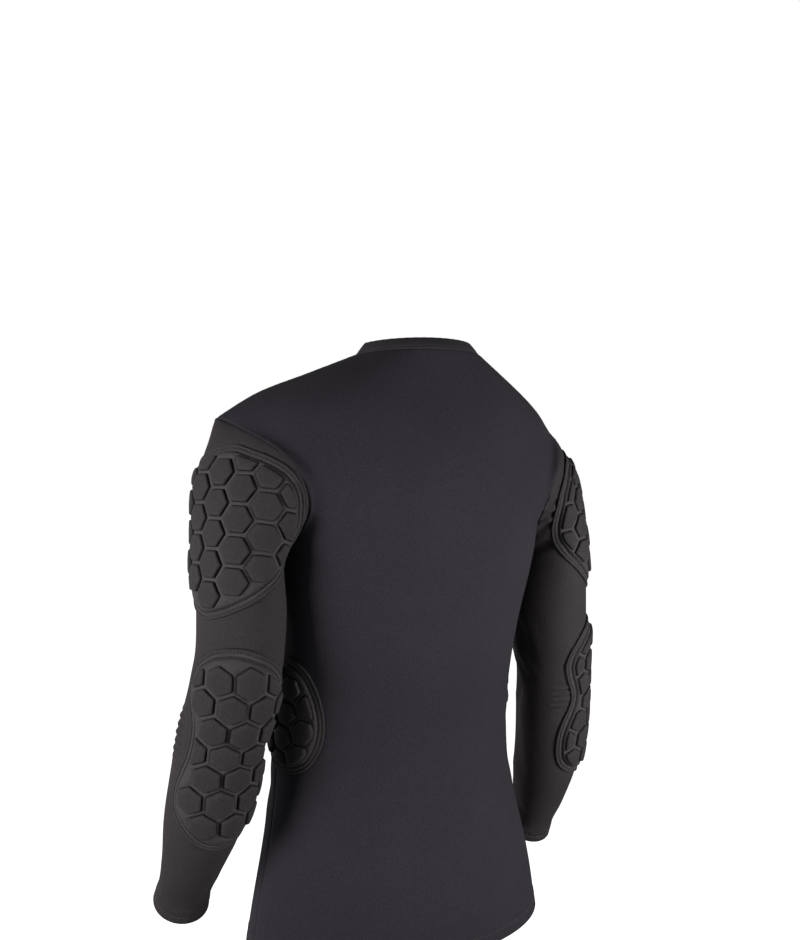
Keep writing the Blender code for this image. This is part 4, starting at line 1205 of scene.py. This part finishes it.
def knit(name, colour, rough=0.70, scale=1.0, grain=0.16, attribute=None, wrinkle=0.8):
    """Fine stretch knit: columns of loops in relief, uneven dye, faint flecks and a soft fuzz; a given
    attribute multiplies in painted shade and painted highlight.
    """
    nodes = Nodes(name)
    nodes.set(Sheen_Weight=0.02, Sheen_Roughness=0.5, Sheen_Tint=(0.85, 0.80, 0.80, 1))
    nodes.set(Specular_IOR_Level=0.03)
    place = nodes.add("ShaderNodeTexCoord").outputs["Object"]
    uv = nodes.tree.nodes.new("ShaderNodeUVMap")
    uv.uv_map = "cloth"
    broad = nodes.ramp(nodes.noise(place, 7.0, 2.0), 0.3, 0.7, 0.92, 1.07)
    fine = nodes.ramp(nodes.noise(place, 650.0, 2.0), 0.3, 0.7, 1 - grain, 1 + grain)
    fleck = nodes.ramp(nodes.noise(place, 1500.0, 0.0), 0.62, 0.80, 0.0, 0.35)
    tone = nodes.maths("ADD", nodes.maths("MULTIPLY", broad, fine), fleck)
    # The attribute is the pads' tone: painted shade in creases and at edges, painted highlight on raised
    # parts
    if attribute:
        painted_light_tone = nodes.tree.nodes.new("ShaderNodeAttribute")
        painted_light_tone.attribute_name = attribute
        tone = nodes.maths("MULTIPLY", tone, painted_light_tone.outputs["Fac"])
    nodes.tint(tone, colour)
    nodes.link(nodes.ramp(nodes.noise(place, 90.0, 3.0), 0.3, 0.7, rough - 0.06, rough + 0.06), "Roughness")

    split = nodes.add("ShaderNodeSeparateXYZ", Vector=uv.outputs["UV"])
    wale = nodes.maths("SINE", nodes.maths("MULTIPLY", split.outputs["X"], 2 * math.pi / (0.00085 * scale)))
    wale = nodes.maths("ABSOLUTE", wale)
    course = nodes.maths("MULTIPLY", split.outputs["Y"], 2 * math.pi / (0.00068 * scale))
    loop = nodes.maths("SINE", nodes.maths("ADD", course, nodes.maths("MULTIPLY", wale, 1.6)))
    height = nodes.maths("ADD", nodes.maths("MULTIPLY", wale, 0.6), nodes.maths("MULTIPLY", loop, 0.3))
    height = nodes.maths("ADD", height, nodes.maths("MULTIPLY", nodes.noise(place, 420.0, 3.0), 1.6))
    creased = nodes.maths("MULTIPLY", nodes.noise(place, 110.0, 2.0), 8.0 * wrinkle)
    nodes.bump(nodes.maths("ADD", height, creased), 0.22, 0.00025)
    return nodes.material


def thread_material(name, colour):
    """Twisted sewing thread."""
    nodes = Nodes(name)
    nodes.set(Roughness=0.55, Specular_IOR_Level=0.06)
    place = nodes.add("ShaderNodeTexCoord").outputs["Object"]
    grain = nodes.noise(place, 900.0, 2.0)
    nodes.tint(nodes.ramp(grain, 0.3, 0.7, 0.7, 1.3), colour)
    nodes.bump(grain, 0.4, 0.0002)
    return nodes.material


KNIT = knit("body_knit", (0.0238, 0.0215, 0.0262))
# Sleeve knit: a little redder than the body, and lighter as a painted lighter copy of the same cloth,
# standing in for the brighter light on the near sleeve
SLEEVE_KNIT = knit("sleeve_knit", (0.0296, 0.0262, 0.0285))
# The pads' knit; its tone attribute paints shade into the creases and highlights onto the raised parts
PAD_KNIT = knit("pad_knit", (0.0305, 0.0278, 0.0296), attribute="tone", wrinkle=1.6)
COLLAR_KNIT = knit("collar_knit", (0.0290, 0.0262, 0.0300), scale=1.25)
THREAD = thread_material("sewing_thread", (0.075, 0.068, 0.071))


# Body panels


def panel_grid(back):
    """Stations up and across a panel, its outer points and their outward directions."""
    ts = steps(0, body_knots()[-1], 0.0048, HEM_STATIONS, (0.0004, 0.0011, 0.0022, 0.0040))
    us = steps(-1, 1, 0.0225, SIDE_STATIONS, SIDE_STATIONS)
    g = body_point(back, ts[:, None], us[None, :])
    n = grid_normals(g)
    if n[5, len(us) // 2, 1] * (1 if back else -1) < 0:
        n = -n
    return g, n


def panel_folds(back, g):
    """The listed folds of one panel."""
    pit = body_knots()[ARMPIT]
    out = np.zeros(g.shape[:2])
    s = np.linspace(0, 1, 14)
    for (t0, u0), (t1, u1), bend, width, depth in BACK_FOLDS if back else FRONT_FOLDS:
        u = u0 + (u1 - u0) * s + bend * np.sin(np.pi * s)
        out += fold(g, body_point(back, pit + t0 + (t1 - t0) * s, u), width, depth)
    return out


def add_panel(name, back):
    """One body panel with its hem stitching."""
    g, n = panel_grid(back)
    side = lengths(g, 1)
    from_side = np.minimum(side, side[:, -1:] - side)
    up = lengths(g, 0)
    lift = panel_folds(back, g) * np.clip(from_side / 0.010, 0, 1)
    lift += seam_pucker(from_side, up, 3) + seam_pucker(up[-1:] - up, side, 4)
    lift += hem_lift(up, side, HEM, HEM_LINES, 5)
    lift += 0.0007 * soft_noise(g, 0.16, 8 if back else 9) * np.clip(from_side / 0.05, 0, 1)
    thick, drop = wall(up, HEM)
    verts, faces = cloth_shell(g, n, lift - drop, thick, False, ("end", "sides"))
    uv = np.stack([side - side[:, -1:] / 2, up], -1).reshape(-1, 2)
    PIECES.append((mesh_object(name + "_cloth", verts, faces, KNIT, np.concatenate([uv, uv])), name, True))
    sewn = [row_threads(g, n, lift, up, line, HEM_STITCH, False) for line in HEM_LINES]
    PIECES.append((mesh_object(name + "_hem_stitching", *joined(sewn), THREAD), name, False))


# Sleeves


def sleeve_grid():
    """Stations down and round the left sleeve, its outer points and their outward directions."""
    cap = steps(-1, 0, 0.040, (0.003, 0.008, 0.018, 0.034), (0.0,))
    end = sleeve_knots()[-1]
    tube = [np.linspace(0, 0.14, 36)[1:], np.linspace(0.14, 0.225, 50)[1:]]
    tube += [np.linspace(0.225, end - 0.024, 38)[1:], end - np.array(CUFF_STATIONS)]
    t = np.unique(np.concatenate([cap] + tube))
    theta = np.arange(0, 360, 3.6)
    g = sleeve_point(t[:, None], theta[None, :])
    n = grid_normals(g, wrap=True)
    if n[20, 0, 0] < 0:
        n = -n
    return g, n


def under_pads(g, kinds, side):
    """How far cloth points sink so that they stay below the pads sewn on them."""
    out = np.zeros(g.shape[:2])
    for kind in kinds:
        patch = PATCHES[kind]
        turn = RIGHT_TURN[kind] if side == "right" else 0.0
        u, v = np.meshgrid(patch.us, patch.vs)
        flat = np.column_stack([u.ravel() - turn, v.ravel()]) * 1000
        on = inside(flat, inset(PAD_SHAPES[kind].outline, 2.0)).reshape(u.shape)
        tree = KDTree(int(on.sum()))
        for i, p in enumerate(patch.grid[on]):
            tree.insert(p, i)
        tree.balance()
        lo, hi = patch.grid[on].min(0) - 0.006, patch.grid[on].max(0) + 0.006
        for i, j in np.argwhere(np.all((g >= lo) & (g <= hi), axis=-1)):
            d = tree.find(g[i, j])[2]
            if d < SINK_REACH:
                out[i, j] = -SINK * min(1.0, (SINK_REACH - d) / SINK)
    return out


def add_sleeve(side):
    """One sleeve with its cuff stitching, made on the left and mirrored for the right."""
    g, n = sleeve_grid()
    down = lengths(g, 0)
    from_cuff = down[-1:] - down
    around = ring_lengths(g)
    s = np.linspace(0, 1, 12)
    lift = np.zeros(g.shape[:2])
    folds = [(a, b, width, depth * ARMPIT_DEPTH[side], 0.4) for a, b, width, depth in ARMPIT_FOLDS]
    folds += [(*row, 0.4) for row in CROOK_FOLDS[side] + WRIST_FOLDS]
    folds += [(*row, 0.0) for row in DENTS[side]]
    for (t0, a0), (t1, a1), width, depth, ridge in folds:
        lift += fold(g, sleeve_point(t0 + (t1 - t0) * s, a0 + (a1 - a0) * s), width, depth, ridge)
    for t, a0, a1, width, depth in GATHERS[side]:
        lift += fold(g, sleeve_point(t + 0.003 * s, a0 + (a1 - a0) * s), width, depth, 0.6)
    lift *= np.clip(down / 0.008, 0, 1)
    lift += seam_pucker(down, around, 6)
    lift += hem_lift(from_cuff, around, CUFF, CUFF_LINES, 7)
    lift += 0.0006 * soft_noise(g, 0.11, 12) * np.clip(down / 0.03, 0, 1) * np.clip(from_cuff / 0.03, 0, 1)
    sunk = under_pads(g, ("shoulder", "elbow"), side)
    lift = np.where(sunk < -SINK / 2, np.minimum(lift, 0) * 0.2, lift) + sunk
    thick, drop = wall(from_cuff, CUFF)
    uv = np.stack([around - around[:, -1:] / 2, -down], -1).reshape(-1, 2)
    cloth = cloth_shell(g, n, lift - drop, thick, True, ("start",))
    sewn = joined([row_threads(g, n, lift, from_cuff, line, CUFF_STITCH, True) for line in CUFF_LINES])
    if side == "right":
        cloth, sewn = mirrored(*cloth), mirrored(*sewn)
    name = side + "_sleeve"
    PIECES.append((mesh_object(name + "_cloth", *cloth, SLEEVE_KNIT, np.concatenate([uv, uv])), name, True))
    PIECES.append((mesh_object(side + "_cuff_stitching", *sewn, THREAD), name, False))


# Collar band


def add_collar():
    """The band on the neck edge, a ring with a stitched foot and a rolled top."""
    k = body_knots()
    u = np.linspace(-1, 1, 120)
    back = body_point(True, np.full_like(u, k[-1]), u)
    front = body_point(False, np.full_like(u, k[-1]), u)[::-1]
    neck = even_loop(np.concatenate([back, front[1:-1]]), count=150)
    inward = np.array([0.0, 0.035, 0.0]) - neck
    inward[:, 2] = 0
    inward = unit(inward)
    rise = unit(inward * BAND_LEAN[0] + np.array([0, 0, BAND_LEAN[1]]))
    heights = np.array([height for height, _ in BAND_ROWS])
    g = neck + rise * heights[:, None, None]
    n = grid_normals(g, wrap=True)
    if n[6, 40, 1] < 0:
        n = -n
    along = ring_lengths(g)
    out = np.array([stand for _, stand in BAND_ROWS])
    lift = out[:, None] + 0.00012 * np.sin(along * 2 * math.pi / 0.0093)
    thick = np.full(g.shape[:2], BAND_WALL)
    thick[0], thick[-1], thick[-2] = WALL, 0.0008, 0.0018
    verts, faces = cloth_shell(g, n, lift, thick, True, ("start",))
    uv = np.stack([along, np.broadcast_to(heights[:, None], along.shape)], -1).reshape(-1, 2)
    ob = mesh_object("collar_band_cloth", verts, faces, COLLAR_KNIT, np.concatenate([uv, uv]))
    PIECES.append((ob, "collar_band", True))
    flat = np.full(g.shape[:2], 0.0001)
    sewn = row_threads(g, n, flat, lengths(g, 0), BAND_LINE, CUFF_STITCH, True)
    PIECES.append((mesh_object("collar_stitching", *sewn, THREAD), "collar_band", False))


# Pads


def on_pad(patch, turn, line, height):
    """Points and outward directions at a height over the cloth, both given in millimetres."""
    p = line / 1000
    low = patch.at(p[:, 0] + turn, p[:, 1], height / 1000)
    return low, unit(patch.at(p[:, 0] + turn, p[:, 1], height / 1000 + 0.001) - low)


def flange_threads(pad, patch, turn):
    """Two straight rows and a zigzag between them, on the pad's flange."""
    parts = []
    for depth, height in ((3.3, 1.65), (7.9, 1.65)):
        line = even_loop(inset(pad.outline, depth), step=2.9)
        ends = line + (np.roll(line, -1, axis=0) - line) * 0.80
        a, n = on_pad(patch, turn, line, height)
        parts.append(threads(a, on_pad(patch, turn, ends, height)[0], n, PAD_THREAD))
    low = even_loop(inset(pad.outline, 4.3), step=2.1)
    high = even_loop(inset(pad.outline, 7.2), count=len(low))
    a, n = on_pad(patch, turn, low, 2.35)
    b, m = on_pad(patch, turn, 0.5 * (high + np.roll(high, -1, axis=0)), 2.30)
    parts.append(threads(a, b, n, PAD_THREAD))
    parts.append(threads(b, np.roll(a, -1, axis=0), m, PAD_THREAD))
    return joined(parts)


def add_pad(kind, side):
    """One pad with its stitching."""
    pad, patch = PAD_SHAPES[kind], PATCHES[kind]
    turn = RIGHT_TURN[kind] if side == "right" else 0.0
    foam = (pad.on(patch, turn), pad.faces)
    sewn = flange_threads(pad, patch, turn)
    if side == "right":
        foam, sewn = mirrored(*foam), mirrored(*sewn)
    pts = np.array(pad.pts)
    name = side + "_" + kind + "_pad"
    ob = mesh_object(name + "_foam", *foam, PAD_KNIT, pts[:, :2] / 1000)
    # The tone attribute: painted shade and painted highlight, with a small random spread between cells
    ob.data.attributes.new("tone", "FLOAT", "POINT").data.foreach_set("value", pts[:, 3])
    PIECES.append((ob, name, True))
    PIECES.append((mesh_object(name + "_stitching", *sewn, THREAD), name, False))


# Garment
PATCHES = make_patches()
PAD_SHAPES = {kind: Pad(kind, outline, pitch, lean, centre) for kind, outline, pitch, lean, centre in PADS}
add_panel("back_panel", True)
add_panel("front_panel", False)
add_collar()
for side in ("left", "right"):
    add_sleeve(side)
    for kind in PAD_SHAPES:
        add_pad(kind, side)

for ob, node, main in PIECES:
    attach(ob, "root")
    if not main:
        continue
    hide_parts(node)


# Floor, light and camera


def add_floor():
    bpy.ops.mesh.primitive_plane_add(size=60, location=(0, 0, FLOOR_Z))
    floor = bpy.context.object
    floor.name = "floor"
    pale = Nodes("pale_floor")
    pale.set(Base_Color=(0.95, 0.95, 0.95, 1), Roughness=0.9, Specular_IOR_Level=0.1)
    pale.set(Emission_Color=(1, 1, 1, 1), Emission_Strength=FLOOR_GLOW)
    floor.data.materials.append(pale.material)
    floor.visible_diffuse = False
    floor.visible_glossy = False


def add_light(name, place, size, power):
    """Softbox facing the middle of the shirt. Those in front make no glints on the cloth."""
    light = bpy.data.lights.new(name, "AREA")
    light.shape = "RECTANGLE"
    light.size, light.size_y = size
    light.energy = power
    ob = bpy.data.objects.new(name, light)
    ob.location = place
    ob.rotation_euler = (Vector(LIGHT_TARGET) - Vector(place)).to_track_quat("-Z", "Y").to_euler()
    ob.visible_camera = False
    ob.visible_glossy = place[1] > 0
    bpy.context.scene.collection.objects.link(ob)


def add_camera():
    data = bpy.data.cameras.new("camera")
    data.sensor_width = 36.0
    data.lens = FOCAL_PX / FRAME_H * data.sensor_width
    camera = bpy.data.objects.new("camera", data)
    across, towards = math.sin(CAMERA_AZIMUTH), -math.cos(CAMERA_AZIMUTH)
    camera.location = (across * CAMERA_DISTANCE, towards * CAMERA_DISTANCE, CAMERA_Z)
    pitch = math.atan((FRAME_H / 2 - HORIZON_PX) / FOCAL_PX)
    camera.rotation_euler = (math.pi / 2 - pitch, 0, CAMERA_AZIMUTH)
    bpy.context.scene.collection.objects.link(camera)
    bpy.context.scene.camera = camera


def add_sky():
    """White backdrop that lights the shirt softly, more from the left and below."""
    world = bpy.data.worlds.new("studio")
    world.use_nodes = True
    tree = world.node_tree
    light = tree.nodes["Background"]
    light.inputs["Color"].default_value = (1, 1, 1, 1)
    place = tree.nodes.new("ShaderNodeTexCoord")
    side = tree.nodes.new("ShaderNodeVectorMath")
    side.operation = "DOT_PRODUCT"
    side.inputs[1].default_value = SKY_SIDE
    share = tree.nodes.new("ShaderNodeMapRange")
    share.inputs["From Min"].default_value = -1.0
    share.inputs["To Min"].default_value = SKY_RANGE[0]
    share.inputs["To Max"].default_value = SKY_RANGE[1]
    seen = tree.nodes.new("ShaderNodeBackground")
    seen.inputs["Color"].default_value = (1, 1, 1, 1)
    ray = tree.nodes.new("ShaderNodeLightPath")
    mix = tree.nodes.new("ShaderNodeMixShader")
    tree.links.new(place.outputs["Generated"], side.inputs[0])
    tree.links.new(side.outputs["Value"], share.inputs["Value"])
    tree.links.new(share.outputs["Result"], light.inputs["Strength"])
    tree.links.new(ray.outputs["Is Camera Ray"], mix.inputs[0])
    tree.links.new(light.outputs[0], mix.inputs[1])
    tree.links.new(seen.outputs[0], mix.inputs[2])
    tree.links.new(mix.outputs[0], tree.nodes["World Output"].inputs["Surface"])
    bpy.context.scene.world = world


add_floor()
for light in LIGHTS:
    add_light(*light)
add_camera()
add_sky()
bpy.context.scene.view_settings.view_transform = "Standard"
